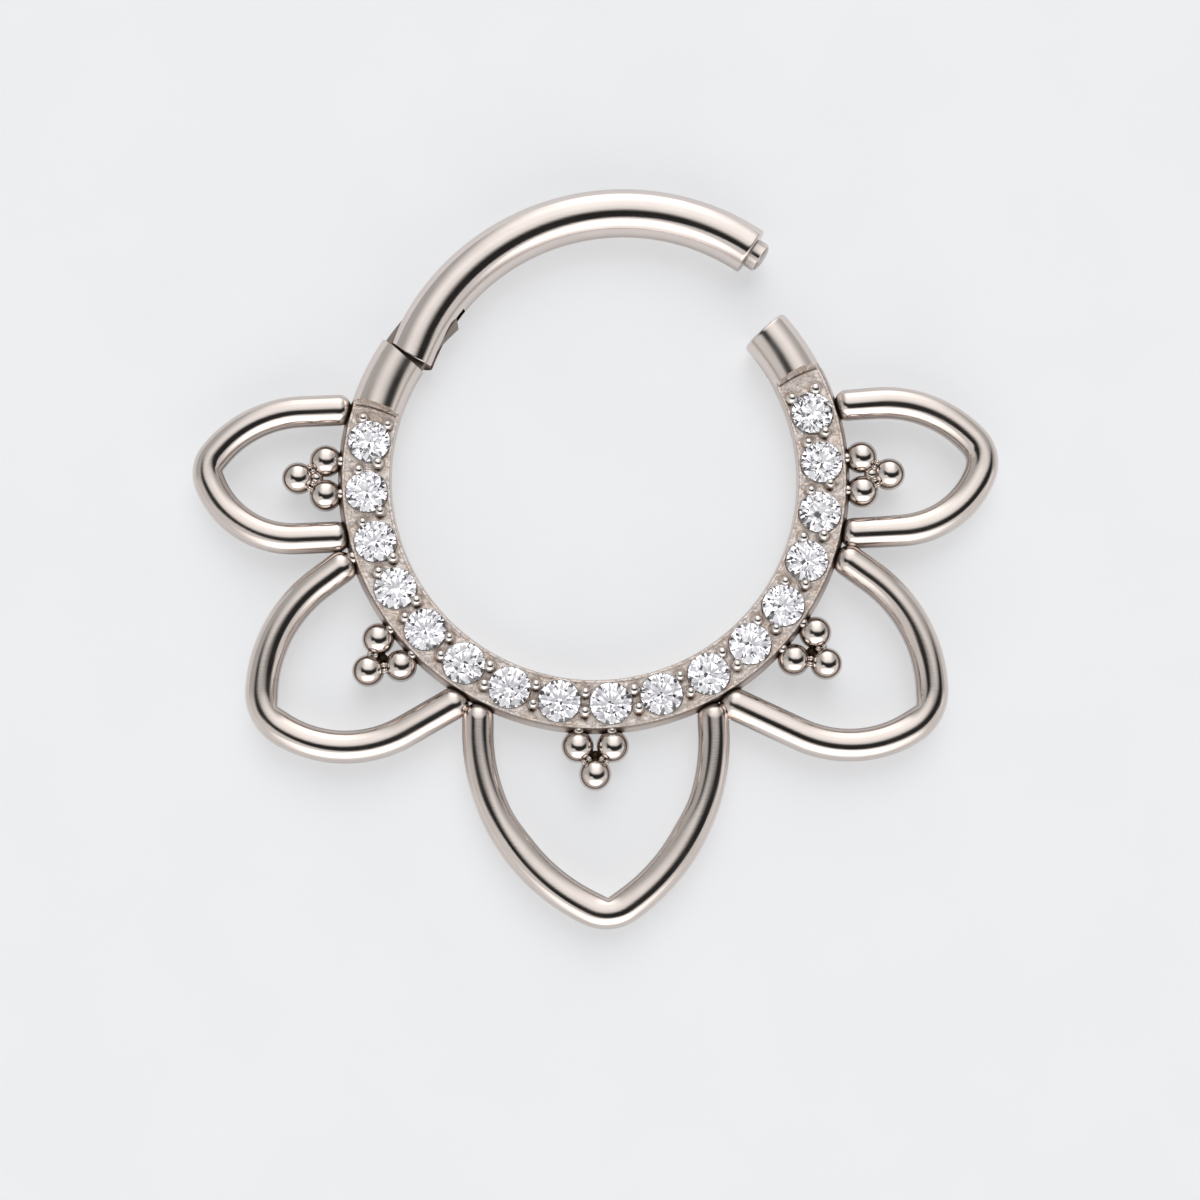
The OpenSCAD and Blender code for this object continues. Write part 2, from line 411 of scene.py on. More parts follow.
def cut_away(piece: bpy.types.Object, tool: Shape) -> None:
    """Cuts a shape out of a piece for good.

    Args:
        piece: The piece that is cut.
        tool: The closed shape that is taken away.
    """
    cutter = tool.piece("cutter")
    cut = piece.modifiers.new("cut", "BOOLEAN")
    cut.operation = "DIFFERENCE"
    cut.solver = "EXACT"
    cut.object = cutter
    graph = bpy.context.evaluated_depsgraph_get()
    done = bpy.data.meshes.new_from_object(piece.evaluated_get(graph))
    piece.modifiers.clear()
    old = piece.data
    piece.data = done
    done.name = piece.name
    bpy.data.meshes.remove(old)
    bpy.data.objects.remove(cutter)
    done.set_sharp_from_angle(angle=math.radians(SHARP_EDGE))


class Recipe:
    """Writes arithmetic into a node tree, one node for each step."""

    def __init__(self, tree: bpy.types.NodeTree) -> None:
        """Keeps the tree that the nodes go into."""
        self.tree = tree

    def node(self, kind: str, **settings: object) -> bpy.types.Node:
        """Adds a node and sets its properties."""
        made = self.tree.nodes.new(kind)
        for name, value in settings.items():
            setattr(made, name, value)
        return made

    def feed(self, socket: bpy.types.NodeSocket, value: object) -> None:
        """Links a socket to another's output, or sets it to a number or an opaque colour."""
        if isinstance(value, bpy.types.NodeSocket):
            self.tree.links.new(value, socket)
        elif socket.type == "RGBA":
            socket.default_value = (*value, 1.0)
        else:
            socket.default_value = value

    def math(self, operation: str, first: object, second: object = 0.0) -> bpy.types.NodeSocket:
        """Result of a Math node."""
        made = self.node("ShaderNodeMath", operation=operation)
        self.feed(made.inputs[0], first)
        self.feed(made.inputs[1], second)
        return made.outputs[0]

    def times(self, first: object, second: object) -> bpy.types.NodeSocket:
        """Product of two values."""
        return self.math("MULTIPLY", first, second)

    def plus(self, first: object, second: object) -> bpy.types.NodeSocket:
        """Sum of two values."""
        return self.math("ADD", first, second)

    def minus(self, first: object, second: object) -> bpy.types.NodeSocket:
        """First value less the second."""
        return self.math("SUBTRACT", first, second)

    def over(self, first: object, second: object) -> bpy.types.NodeSocket:
        """How far the first value goes past the second, or 0 where it doesn't."""
        return self.math("MAXIMUM", self.minus(first, second), 0.0)

    def squares(self, first: object, second: object) -> bpy.types.NodeSocket:
        """Sum of two values' squares."""
        return self.plus(self.times(first, first), self.times(second, second))

    def ramp(
        self, value: object, low: float, high: float, start: float = 0.0, end: float = 1.0
    ) -> bpy.types.NodeSocket:
        """A smooth step from start at low to end at high; low may be the larger."""
        made = self.node("ShaderNodeMapRange", interpolation_type="SMOOTHSTEP")
        turned_round = low > high
        self.feed(made.inputs["Value"], value)
        made.inputs["From Min"].default_value = min(low, high)
        made.inputs["From Max"].default_value = max(low, high)
        made.inputs["To Min"].default_value = end if turned_round else start
        made.inputs["To Max"].default_value = start if turned_round else end
        return made.outputs["Result"]

    def blend(self, below: object, above: object, mask: object) -> bpy.types.NodeSocket:
        """Goes from one value to another as the mask goes from 0 to 1."""
        made = self.node("ShaderNodeMix", data_type="FLOAT")
        self.feed(made.inputs["Factor"], mask)
        self.feed(made.inputs["A"], below)
        self.feed(made.inputs["B"], above)
        return made.outputs["Result"]

    def tint(self, below: object, above: object, mask: object) -> bpy.types.NodeSocket:
        """Goes from one colour to another as the mask goes from 0 to 1."""
        made = self.node("ShaderNodeMix", data_type="RGBA")
        self.feed(made.inputs["Factor"], mask)
        self.feed(made.inputs[6], below)
        self.feed(made.inputs[7], above)
        return made.outputs[2]

    def noise(self, vector: bpy.types.NodeSocket, scale: float, detail: float) -> bpy.types.NodeSocket:
        """Noise from 0 to 1, with so many lumps to the vector's unit."""
        made = self.node("ShaderNodeTexNoise")
        self.feed(made.inputs["Vector"], vector)
        made.inputs["Scale"].default_value = scale
        made.inputs["Detail"].default_value = detail
        return made.outputs["Fac"]

    def group(self, tree: bpy.types.NodeTree, **values: object) -> bpy.types.Node:
        """Places a node group and feeds its inputs by name."""
        made = self.node("ShaderNodeGroup", node_tree=tree)
        for name, value in values.items():
            self.feed(made.inputs[name], value)
        return made


class Surface(Recipe):
    """A new material, with its shader and the place on the piece that its patterns follow."""

    def __init__(self, name: str) -> None:
        """Makes the material."""
        self.material = bpy.data.materials.new(name)
        self.material.use_nodes = True
        super().__init__(self.material.node_tree)
        self.shader = self.tree.nodes["Principled BSDF"]
        self.place = self.node("ShaderNodeTexCoord").outputs["Object"]

    def mark(self, name: str) -> bpy.types.NodeSocket:
        """A value that the piece's own points carry."""
        return self.node("ShaderNodeAttribute", attribute_name=name).outputs["Fac"]

    def lumps(self, per_mm: float, detail: float = 2.0) -> bpy.types.NodeSocket:
        """Noise over the piece, with so many lumps to the millimetre."""
        return self.noise(self.place, per_mm / MM, detail)

    def give(self, **values: object) -> None:
        """Feeds the shader's inputs, whose names are written with _ for a space."""
        for name, value in values.items():
            self.feed(self.shader.inputs[name.replace("_", " ")], value)

    def raise_by(self, height: object, depth: float, strength: float) -> None:
        """Feeds the shader a bump whose depth is in millimetres."""
        bump = self.node("ShaderNodeBump")
        bump.inputs["Distance"].default_value = depth * MM
        bump.inputs["Strength"].default_value = strength
        self.feed(bump.inputs["Height"], height)
        self.give(Normal=bump.outputs["Normal"])


class PolishMarks:
    """The faint haze and hairlines that polishing leaves, as one node group that every metal shares."""

    name = "polish_marks"

    @classmethod
    def tree(cls) -> bpy.types.NodeTree:
        """The node group, built the first time it is asked for.

        Its inputs are a place and how deep the hairlines are, from 0 to 1. Its outputs are a haze from 0
        to 1 and the hairlines' height.
        """
        known = bpy.data.node_groups.get(cls.name)
        if known:
            return known
        tree = bpy.data.node_groups.new(cls.name, "ShaderNodeTree")
        tree.interface.new_socket("Place", in_out="INPUT", socket_type="NodeSocketVector")
        tree.interface.new_socket("Hairs", in_out="INPUT", socket_type="NodeSocketFloat")
        tree.interface.new_socket("Haze", in_out="OUTPUT", socket_type="NodeSocketFloat")
        tree.interface.new_socket("Height", in_out="OUTPUT", socket_type="NodeSocketFloat")
        recipe = Recipe(tree)
        given = recipe.node("NodeGroupInput")
        result = recipe.node("NodeGroupOutput")
        haze = recipe.noise(given.outputs["Place"], 1.1 / MM, 3.0)
        drawn = recipe.node("ShaderNodeMapping")
        recipe.feed(drawn.inputs["Vector"], given.outputs["Place"])
        drawn.inputs["Rotation"].default_value = (0.0, 0.3, 0.7)
        drawn.inputs["Scale"].default_value = (1.0, 14.0, 14.0)
        hairs = recipe.noise(drawn.outputs["Vector"], 1.6 / MM, 1.0)
        recipe.feed(result.inputs["Haze"], recipe.ramp(haze, 0.35, 0.7))
        recipe.feed(result.inputs["Height"], recipe.times(hairs, given.outputs["Hairs"]))
        return tree


@dataclass(frozen=True)
class PolishedMetal:
    """A polished metal with a champagne tint and faint marks, and brown painted shade where the piece is
    marked for it.

    Args:
        name: The material's name.
        colour: Its reflected colour.
        worn_colour: Its colour where the haze lies.
        gloss: Roughness where it is cleanest and where the haze lies.
        hairs: How deep the hairlines are, from 0 to 1.
        rim_shade: How dark the thin painted reflection line is that runs just inside its outline, from 0 to
            1.
        painted_shade_colour: Its colour in crevices.
        dull_gloss: Its roughness there.
        hair_depth: Height of the hairlines in millimetres.
    """

    name: str
    colour: Colour
    worn_colour: Colour
    gloss: tuple[float, float]
    hairs: float
    rim_shade: float = 0.0
    painted_shade_colour: Colour = (0.1, 0.065, 0.045)
    dull_gloss: float = 0.5
    hair_depth: float = 0.002

    def material(self) -> bpy.types.Material:
        """The finish as a material, which reads the piece's own mark of painted shade."""
        surface = Surface(self.name)
        marks = surface.group(PolishMarks.tree(), Place=surface.place, Hairs=self.hairs)
        haze = marks.outputs["Haze"]
        joint = surface.mark("joint")
        # Painted reflection: a thin dark ring just inside the outline; it and the marked painted shade turn
        # the colour towards the painted shade colour.
        slant = surface.node("ShaderNodeLayerWeight").outputs["Facing"]
        rim = surface.times(surface.ramp(slant, 0.34, 0.43), surface.ramp(slant, 0.6, 0.5, 0.12, 1.0))
        dark = surface.math("MAXIMUM", joint, surface.times(rim, self.rim_shade))
        clean = surface.tint(self.colour, self.worn_colour, haze)
        gloss = surface.blend(*self.gloss, haze)
        surface.give(
            Metallic=1.0,
            Base_Color=surface.tint(clean, self.painted_shade_colour, dark),
            Roughness=surface.blend(gloss, self.dull_gloss, joint),
        )
        surface.raise_by(marks.outputs["Height"], self.hair_depth, 0.5)
        return surface.material


@dataclass(frozen=True)
class CarvedMetal:
    """The band's metal: polished round its back, and matte, pale and finely chipped where it was cut.

    Args:
        name: The material's name.
        colour: Colour of the polished metal.
        cut_colour: Colour of the carved top.
        worn_colour: Its colour in duller spots.
        hollow_colour: Painted shade colour of the deepest hollows and of crevices.
        carved_metallic: How much of the carved top's light is mirrored.
        chip_depth: Height of the chips in millimetres.
    """

    name: str
    colour: Colour
    cut_colour: Colour
    worn_colour: Colour
    hollow_colour: Colour
    carved_metallic: float = 0.4
    chip_depth: float = 0.07

    def material(self) -> bpy.types.Material:
        """The finish as a material, which reads the piece's own "carved" mark and its two marks of painted
        shade.
        """
        surface = Surface(self.name)
        marks = surface.group(PolishMarks.tree(), Place=surface.place, Hairs=0.4)
        carved, shade, joint = (surface.mark(name) for name in ("carved", "shade", "joint"))
        chips = surface.lumps(7.0)
        lumps = surface.lumps(2.6)
        cut = surface.tint(self.worn_colour, self.cut_colour, surface.ramp(lumps, 0.38, 0.56))
        # Painted shade: both shade marks darken the metal towards the hollow colour.
        cut = surface.tint(cut, self.hollow_colour, shade)
        clean = surface.tint(self.colour, cut, carved)
        polished = surface.blend(surface.blend(0.18, 0.26, marks.outputs["Haze"]), 0.5, joint)
        matte = surface.ramp(chips, 0.35, 0.65, 0.16, 0.4)
        surface.give(
            Metallic=surface.blend(1.0, self.carved_metallic, carved),
            Base_Color=surface.tint(clean, self.hollow_colour, joint),
            Roughness=surface.blend(polished, matte, carved),
        )
        surface.raise_by(surface.times(surface.plus(chips, lumps), carved), self.chip_depth, 1.0)
        return surface.material


@dataclass(frozen=True)
class CutStone:
    """A clear stone with a high refractive index and a trace of violet."""

    name: str
    clear: Colour
    cloudy: Colour
    index: float

    def material(self) -> bpy.types.Material:
        """The finish as a material."""
        surface = Surface(self.name)
        cloud = surface.ramp(surface.lumps(2.2), 0.4, 0.65)
        surface.give(
            Base_Color=surface.tint(self.clear, self.cloudy, cloud),
            Transmission_Weight=1.0,
            Roughness=0.0,
            IOR=self.index,
        )
        return surface.material


@dataclass
class Ring:
    """Sizes that the band, the arm and the hinge share."""

    radius: float = 5.6
    arm_radius: float = 0.59
    band_radius: float = 0.63
    catch_dir: float = 401.2
    seam_dir: float = 146.5
    pivot_dir: float = 138.5
    tip_dir: float = 42.2
    heel_dir: float = 145.5
    open_angle: float = 13.5
    side_radius: float = 0.66
    line_angle: float = 40.0
    line_shade: float = 0.32
    seam_lean: float = 0.147

    def seam_shift(self, across: np.ndarray) -> np.ndarray:
        """How far the hinge's seam runs on along the wire, by the sine of the share from outside to inside.

        Args:
            across: Offsets inwards as parts of the wire's radius, from -1 to 1.

        Returns:
            The runs, from 0 on the outer side to seam_lean on the inner one.
        """
        share = np.clip(across + 1, 0, 2) / 2
        return self.seam_lean * np.sin(share * math.pi / 2)

    def inner_line(self, inward: np.ndarray, up: np.ndarray) -> np.ndarray:
        """Darkness of the hair-thin painted brown reflection line along the inner side of the arm and the
        barrels.
        """
        return self.line_shade * painted_reflection_line(inward, up, self.line_angle) ** 3

    def pivot(self) -> np.ndarray:
        """The hinge's middle, in the ring's plane."""
        return on_circle(self.radius, self.pivot_dir)

    def gap_to_band(self, points: np.ndarray) -> np.ndarray:
        """Distance of points from the band's side, taken as a round wire."""
        from_middle = np.linalg.norm(points[:, :2], axis=1) - self.radius
        return np.hypot(from_middle, points[:, 2]) - self.side_radius

    def opened(self, shape: Shape) -> Shape:
        """Turns a shape of the closed arm about the hinge to where the arm stands open."""
        angle = math.radians(self.open_angle)
        cosine, sine = math.cos(angle), math.sin(angle)
        turn = np.array([[cosine, sine], [-sine, cosine]])
        points = shape.points.copy()
        points[:, :2] = (points[:, :2] - self.pivot()) @ turn + self.pivot()
        return Shape(points, shape.faces, shape.marks)


@dataclass
class StoneRow:
    """The row of stones along the band."""

    count: int = 17
    radius: float = 5.555
    first_dir: float = 171.3
    pitch: float = 12.82
    girdle_z: float = 0.29
    stone_radius: float = 0.505
    seat_radius: float = 0.524
    table: float = 0.56
    crown: float = 0.3
    girdle: float = 0.06
    pavilion: float = 0.86
    star: float = 0.78
    lower: float = 0.26
    finish: CutStone = field(
        default_factory=lambda: CutStone("clear_stone", (1.0, 1.0, 1.0), (0.95, 0.95, 0.99), 2.15)
    )

    def directions(self) -> np.ndarray:
        """Directions of the stones."""
        return self.first_dir + self.pitch * np.arange(self.count)

    def gap_directions(self) -> np.ndarray:
        """Directions of the gaps, with one before the first stone and one after the last."""
        return self.first_dir + self.pitch * (np.arange(self.count + 1) - 0.5)

    def cut(self, direction: float) -> Shape:
        """One round brilliant.

        Heights are parts of the stone's radius. A crown facet's plane falls from the table's corner
        straight out to the girdle, so a star point at 22.5 degrees from it lies cos(22.5) of its radius
        along that fall; the same holds for the pavilion's facets, which fall from the girdle to the point
        below.

        Args:
            direction: Direction of the stone from the ring's middle.

        Returns:
            The faceted stone, in its place.
        """
        lean = math.cos(math.radians(22.5))
        top = self.girdle + self.crown
        star_z = top - self.crown * (self.star * lean - self.table) / (1 - self.table)
        lower_z = -self.pavilion * (1 - self.lower * lean)
        eight = np.radians(np.arange(8) * 45 + direction)
        half = eight + math.radians(22.5)
        sixteen = np.radians(np.arange(16) * 22.5 + direction)

        def ring(angle: np.ndarray, radius: float, height: float) -> np.ndarray:
            """Points of one ring of corners."""
            x, y = radius * np.cos(angle), radius * np.sin(angle)
            return np.stack([x, y, np.full(len(angle), height)], -1)

        points = np.vstack(
            [
                ring(eight, self.table, top),
                ring(half, self.star, star_z),
                ring(sixteen, 1.0, self.girdle),
                ring(sixteen, 1.0, 0.0),
                ring(half, self.lower, lower_z),
                [[0.0, 0.0, -self.pavilion]],
            ]
        )
        i = np.arange(8)
        after, before, following = (i + 1) % 8, (i + 7) % 8, (2 * i + 2) % 16
        star, upper, under, low, point = 8 + i, 16 + 2 * i, 32 + 2 * i, 48 + i, np.full(8, 56)
        blocks = (
            [i, star, after],
            [i, 8 + before, upper, star],
            [star, upper, upper + 1],
            [star, upper + 1, 16 + following],
            [upper, under, under + 1, upper + 1],
            [upper + 1, under + 1, 32 + following, 16 + following],
            [under, low, under + 1],
            [under + 1, low, 32 + following],
            [32 + following, low, point, 48 + after],
        )
        faces = [i[None], *[np.stack(corners, -1) for corners in blocks]]
        centre = np.array([*on_circle(self.radius, direction), self.girdle_z])
        return Shape(centre + points * self.stone_radius, faces)

    def build(self) -> list[bpy.types.Object]:
        """Cuts every stone and sets it in the place of its CAD node."""
        material = self.finish.material()
        stones = []
        for number, direction in enumerate(self.directions(), 1):
            node = f"stone_{number:02d}"
            stone = self.cut(direction).piece(f"brilliant_{number:02d}", crease=None)
            finish_piece(stone, material, Body.FRAME, [node])
            stones.append(stone)
        return stones


def finish_piece(
    piece: bpy.types.Object, material: bpy.types.Material, body: Body, nodes: list[str]
) -> None:
    """Gives a piece its material and body, and hides the CAD nodes that it stands for."""
    piece.data.materials.clear()
    piece.data.materials.append(material)
    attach(piece, body.value)
    if nodes:
        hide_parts(*nodes)
    LOG.info("%s: %d points, on %s", piece.name, len(piece.data.vertices), body.value)


@dataclass
class Band:
    """The ring's lower arc: the two round barrels and, between them, the carved flat with its prongs.

    Offsets across the wire are to its left, which is towards the ring's middle.
    """

    ring: Ring
    stones: StoneRow
    flat_start: float = 162.5
    flat_end: float = 387.0
    flat_z: float = 0.26
    floor_z: float = 0.22
    rim: float = 0.055
    rim_wobble: float = 0.003
    end_bow: float = 0.065
    swell_before: float = 0.4
    swell_after: float = 1.4
    inner_edge: float = 0.61
    inner_reach: float = 0.64
    outer_edge: float = 0.545
    outer_reach: float = 0.672
    lip_run: float = 0.15
    lip_slope: float = 0.03
    groove_run: float = 0.085
    groove_width: float = 0.024
    groove_depth: float = 0.045
    seat_below: float = 0.024
    bearing_rise: float = 0.03
    seat_edge: float = 0.022
    pit_depth: float = 0.04
    pit_width: float = 0.03
    foot_reach: float = 0.07
    scoop_out: float = 0.17
    scoop_reach: float = 0.08
    scoop_depth: float = 0.03
    bore_radius: float = 0.385
    bore_depth: float = 0.28
    cup_radius: float = 0.968
    prong_radius: float = 0.138
    last_prong_radius: float = 0.165
    prong_row: float = 5.515
    prong_off: float = 0.23
    end_prong_off: float = 0.31
    prong_lean: float = 0.1
    prong_z: float = 0.285
    seat_rim_width: float = 0.011
    seat_rim_z: float = 0.254
    wall_shade: float = 0.2
    edge_shade: float = 0.5
    floor_columns: int = 44
    round_columns: int = 54
    row_step: float = 0.027
    barrel_rows: int = 16
    tongue_half: float = 0.17
    tongue_reach: float = 0.86
    tongue_inset: float = 0.035
    tongue_shade: float = 0.7

    def turn_of(self, run: float | np.ndarray) -> float | np.ndarray:
        """Degrees round the ring that a run along the wire takes."""
        return np.degrees(run / self.ring.radius)

    def seat_heights(self, apart: np.ndarray) -> tuple[np.ndarray, np.ndarray]:
        """Height of the seats' cones, and of the bearing that rises round each stone.

        A seat falls from the girdle to its point as a cone. The bearing rises by a smooth step towards
        the stone.

        Args:
            apart: Distance from the nearest stone's middle.

        Returns:
            The cone's height, far above the flat outside the seats, and the bearing's rise.
        """
        far_above = 9.0
        point = self.stones.pavilion * self.stones.stone_radius + self.seat_below
        cone = self.stones.girdle_z - point * (1 - apart / self.stones.seat_radius)
        cone = np.where(apart < self.stones.seat_radius, cone, far_above)
        return cone, self.bearing_rise * smooth_step(apart, 0.6, 0.53)

    def carving(self, places: np.ndarray) -> tuple[np.ndarray, np.ndarray]:
        """Height of the carved floor at places on the flat, and the shade painted in its hollows.

        To the floor's level it adds the bearings, and takes away a ring-shaped pit round each prong and a
        scoop outside each outer one, Gaussians of the distance, and the graver's short cuts, crossed sine
        waves. The painted shade is a weighted sum of the same hollows, of the seats' edges, of the graver's
        deepest cuts, and of a painted shadow below each prong in the picture, which is darkest.

        Args:
            places: Points in the ring's plane, of shape (..., 2).

        Returns:
            The heights, and a shade from 0 to 1.
        """
        to_stone = nearest(places, on_circle(self.stones.radius, self.stones.directions()))
        cone, bearing = self.seat_heights(to_stone)
        feet, _ = self.prong_feet()
        outer_feet = feet[: len(feet) // 2]
        scoops = outer_feet * (1 + self.scoop_out / np.linalg.norm(outer_feet, axis=1))[:, None]
        pit = bell(nearest(places, feet) - self.prong_radius, self.pit_width)
        # Painted shadow below each prong's foot, on the picture's lower side.
        below = bell(nearest(places, feet - np.array([0.0, self.prong_radius])), self.foot_reach)
        scoop = bell(nearest(places, scoops), self.scoop_reach)
        edge = bell(to_stone - self.stones.seat_radius, self.seat_edge)
        x, y = places[..., 0], places[..., 1]
        wave = np.sin(9 * x + 4 * np.sin(3.1 * y)) * np.sin(11 * y + 3 * np.sin(4.3 * x))
        fine = np.sin(31 * x + 13 * y) * np.sin(23 * y - 17 * x)
        cuts = 0.007 * wave + 0.005 * fine
        height = self.floor_z + bearing - self.pit_depth * pit - self.scoop_depth * scoop + cuts
        shade = 0.3 * pit + 0.9 * below + 0.35 * scoop + 0.6 * edge + 0.15 * (wave < -0.55)
        return np.minimum(height, cone), np.clip(shade, 0, 1)

    def prong_feet(self) -> tuple[np.ndarray, np.ndarray]:
        """Middles of the prongs' feet in the ring's plane, and the prongs' radii, which vary a little.

        Each gap has an outer and an inner prong. Where the row runs up and down the picture they lean
        apart along the row, by prong_lean * |cos(direction)|; before the first stone and after the last
        both lean to the stone. The radii vary by a sine of the prong's number.
        """
        gaps = self.stones.gap_directions()
        count = len(gaps)
        lean = self.prong_lean * np.abs(np.cos(np.radians(gaps)))
        outer, inner = lean.copy(), -lean
        outer[0], inner[0] = self.prong_lean, 1.2 * self.prong_lean
        outer[-1], inner[-1] = -self.prong_lean, -self.prong_lean
        off = np.full(count, self.prong_off)
        off[[0, -1]] = self.end_prong_off
        sizes = self.prong_radius * (1 + 0.09 * np.sin(2.4 * np.arange(2 * count)))
        sizes[count - 1] = self.last_prong_radius
        radius = self.prong_row + np.concatenate([off, -off])
        direction = np.radians(np.tile(gaps, 2) + self.turn_of(np.concatenate([outer, inner])))
        return np.stack([radius * np.cos(direction), radius * np.sin(direction)], -1), sizes

    def profile(self) -> tuple[np.ndarray, np.ndarray, np.ndarray]:
        """Where the points of a row lie.

        Returns:
            Shares across the flat, from 1 inwards to -1 outwards; which of them lie in the channel between
            the rims; and angles in radians from the outer edge round below to the inner.
        """
        half = (self.inner_edge + self.outer_edge) / 2
        inside = half - self.rim
        bevel = 0.012
        rim = np.array([half - 0.01, half - 0.028, inside + bevel, inside])
        floor = np.linspace(inside - bevel, bevel - inside, self.floor_columns)
        shares = np.concatenate([rim, floor, -rim[::-1]]) / half
        channel = np.zeros(len(shares), bool)
        channel[len(rim) : -len(rim)] = True
        edge = math.asin((self.flat_z - 0.008) / self.ring.band_radius)
        return shares, channel, np.linspace(math.pi - edge, FULL_TURN + edge, self.round_columns)

    def rows(self) -> np.ndarray:
        """Directions of the rows of points, close together over the flat and at its ends."""
        step = self.turn_of(self.row_step)
        bow = self.turn_of(self.end_bow) + step
        left = np.linspace(self.ring.seam_dir, self.flat_start - bow - step, self.barrel_rows)
        right = np.linspace(self.flat_end + bow + step, self.ring.catch_dir, self.barrel_rows)
        flat = np.arange(self.flat_start - bow, self.flat_end + bow + step / 2, step)
        return np.concatenate([left, flat, right])

    def swell(self, directions: np.ndarray) -> np.ndarray:
        """How far the wire has swelled from its circle into the carved profile: 0 to 1 by smooth steps."""
        start, end = self.flat_start, self.flat_end
        begun = smooth_step(directions, start - self.swell_before, start + self.swell_after)
        return begun * smooth_step(directions, end + self.swell_before, end - self.swell_after)

    def side(self, up: np.ndarray, edge: float, reach: float) -> np.ndarray:
        """Half width of the carved band at a height: an ellipse below, and a plane wall up to the flat.

        Below the wire's middle it is reach * sqrt(1 - (z / r)^2). Above it the wall leans in, as
        edge + (reach - edge) * (1 - z / flat).
        """
        low = reach * np.sqrt(np.clip(1 - (up / self.ring.band_radius) ** 2, 0, 1))
        high = edge + (reach - edge) * (1 - up / self.flat_z)
        return np.where(up > 0, high, low)

    def top(self, swell: np.ndarray, shares: np.ndarray) -> tuple[np.ndarray, np.ndarray]:
        """Offsets of the points over the flat, and the wire's own height there.

        Args:
            swell: How far each row has swelled, as a column.
            shares: The points' shares across the flat.

        Returns:
            Offsets and heights, of shape (rows, shares).
        """
        radius = self.ring.band_radius
        barrel_half = math.sqrt(radius**2 - self.flat_z**2)
        half = barrel_half + swell * ((self.inner_edge + self.outer_edge) / 2 - barrel_half)
        off = swell * (self.inner_edge - self.outer_edge) / 2 + half * shares
        return off, np.sqrt(radius**2 - np.minimum(np.abs(off), barrel_half) ** 2)

    def under(self, swell: np.ndarray, around: np.ndarray) -> tuple[np.ndarray, np.ndarray]:
        """Offsets and heights of the points round the wire's lower side, for the angles of profile."""
        radius = self.ring.band_radius
        up = np.tile(radius * np.sin(around), (len(swell), 1))
        inner_side = self.side(up, self.inner_edge, self.inner_reach)
        outer_side = -self.side(up, self.outer_edge, self.outer_reach)
        carved = np.where(np.cos(around) > 0, inner_side, outer_side)
        circle = radius * np.cos(around)
        return circle + swell * (carved - circle), up

    def flat(
        self, directions: np.ndarray, shares: np.ndarray, channel: np.ndarray, off: np.ndarray
    ) -> tuple[np.ndarray, np.ndarray, np.ndarray]:
        """The flat's carved surface.

        Its ends bow along the wire by end_bow * (1 - t^2) for a share t of its half width, and each has a
        lip with a groove behind it, a Gaussian of the run from the flat's end.

        Args:
            directions: Direction of each row.
            shares: Shares of its points across the flat.
            channel: Which of them lie between the rims.
            off: Their offsets.

        Returns:
            Their heights, the shade painted on them, and which lie past the flat's ends.
        """
        angle = np.radians(directions)
        out = np.stack([np.cos(angle), np.sin(angle)], -1)
        floor, shade = self.carving((self.ring.radius - off)[..., None] * out[:, None])
        per_degree = math.radians(self.ring.radius)
        from_start = (directions[:, None] - self.flat_start) * per_degree
        from_end = (self.flat_end - directions[:, None]) * per_degree
        run = np.minimum(from_start, from_end) + self.end_bow * (1 - shares**2)
        groove = bell(run - self.groove_run, self.groove_width)
        past_lip = smooth_step(run, self.lip_run, self.lip_run + self.lip_slope)
        lip = self.flat_z + 0.004 - self.groove_depth * groove
        rim_top = self.flat_z + self.rim_wobble * np.sin(37 * angle) * np.sin(91 * angle)
        level = np.where(channel, lip + past_lip * (floor - lip), rim_top[:, None])
        on_flat = run > 0
        # Painted shade: the carving's shade past the lip, and more in the groove.
        return level, np.where(on_flat & channel, past_lip * shade + 0.9 * groove, 0.0), on_flat

    def body(self, neighbours: np.ndarray) -> Shape:
        """The band and its barrels as one closed surface, cut down to the carved flat between its ends.

        Args:
            neighbours: Beads and wire ends beside the band: the middle and radius of each.

        Returns:
            The surface, marked "carved" where the graver cut it, with shade painted there and outside:
            on the outer wall, in the crevices, and as the painted reflection line along the barrels.
        """
        directions = self.rows()
        shares, channel, around = self.profile()
        swell = self.swell(directions)[:, None]
        top_off, top_up = self.top(swell, shares)
        under_off, under_up = self.under(swell, around)
        level, top_shade, on_flat = self.flat(directions, shares, channel, top_off)
        off = np.hstack([top_off, under_off])
        up = np.hstack([np.where(on_flat, np.minimum(level, top_up), top_up), under_up])
        blank = np.zeros_like(under_up)
        # Painted shade on the outer wall, darkest just under the flat's edge, and the painted reflection
        # line along the barrels' inner side.
        under_edge = self.edge_shade * crevice(self.flat_z - under_up, 0.06)
        wall = (under_up > 0) * (np.cos(around) < 0) * swell * (self.wall_shade + under_edge)
        joint = np.hstack([np.zeros_like(top_off), wall]) + (1 - swell) * self.ring.inner_line(off, up)
        carved = np.hstack([on_flat.astype(float), blank])
        marks = np.stack([carved, np.hstack([top_shade, blank]), joint], -1)
        begin = np.tile(directions[:, None], (1, off.shape[1]))
        rows, marks = self.with_ends(begin, off, up, marks)
        carved, shade, joint = (marks[..., number].ravel() for number in range(3))
        shape = Shape.from_rows(rows)
        shape.marks = {"carved": carved, "shade": shade}
        return shape.marked(np.maximum(joint, self.beside(shape.points, neighbours)))

    def beside(self, points: np.ndarray, neighbours: np.ndarray) -> np.ndarray:
        """Painted shade on the band's points in the crevices beside its neighbours."""
        apart = np.linalg.norm(points[:, None] - neighbours[:, :3], axis=-1) - neighbours[:, 3]
        return crevice(apart.min(1), 0.05)

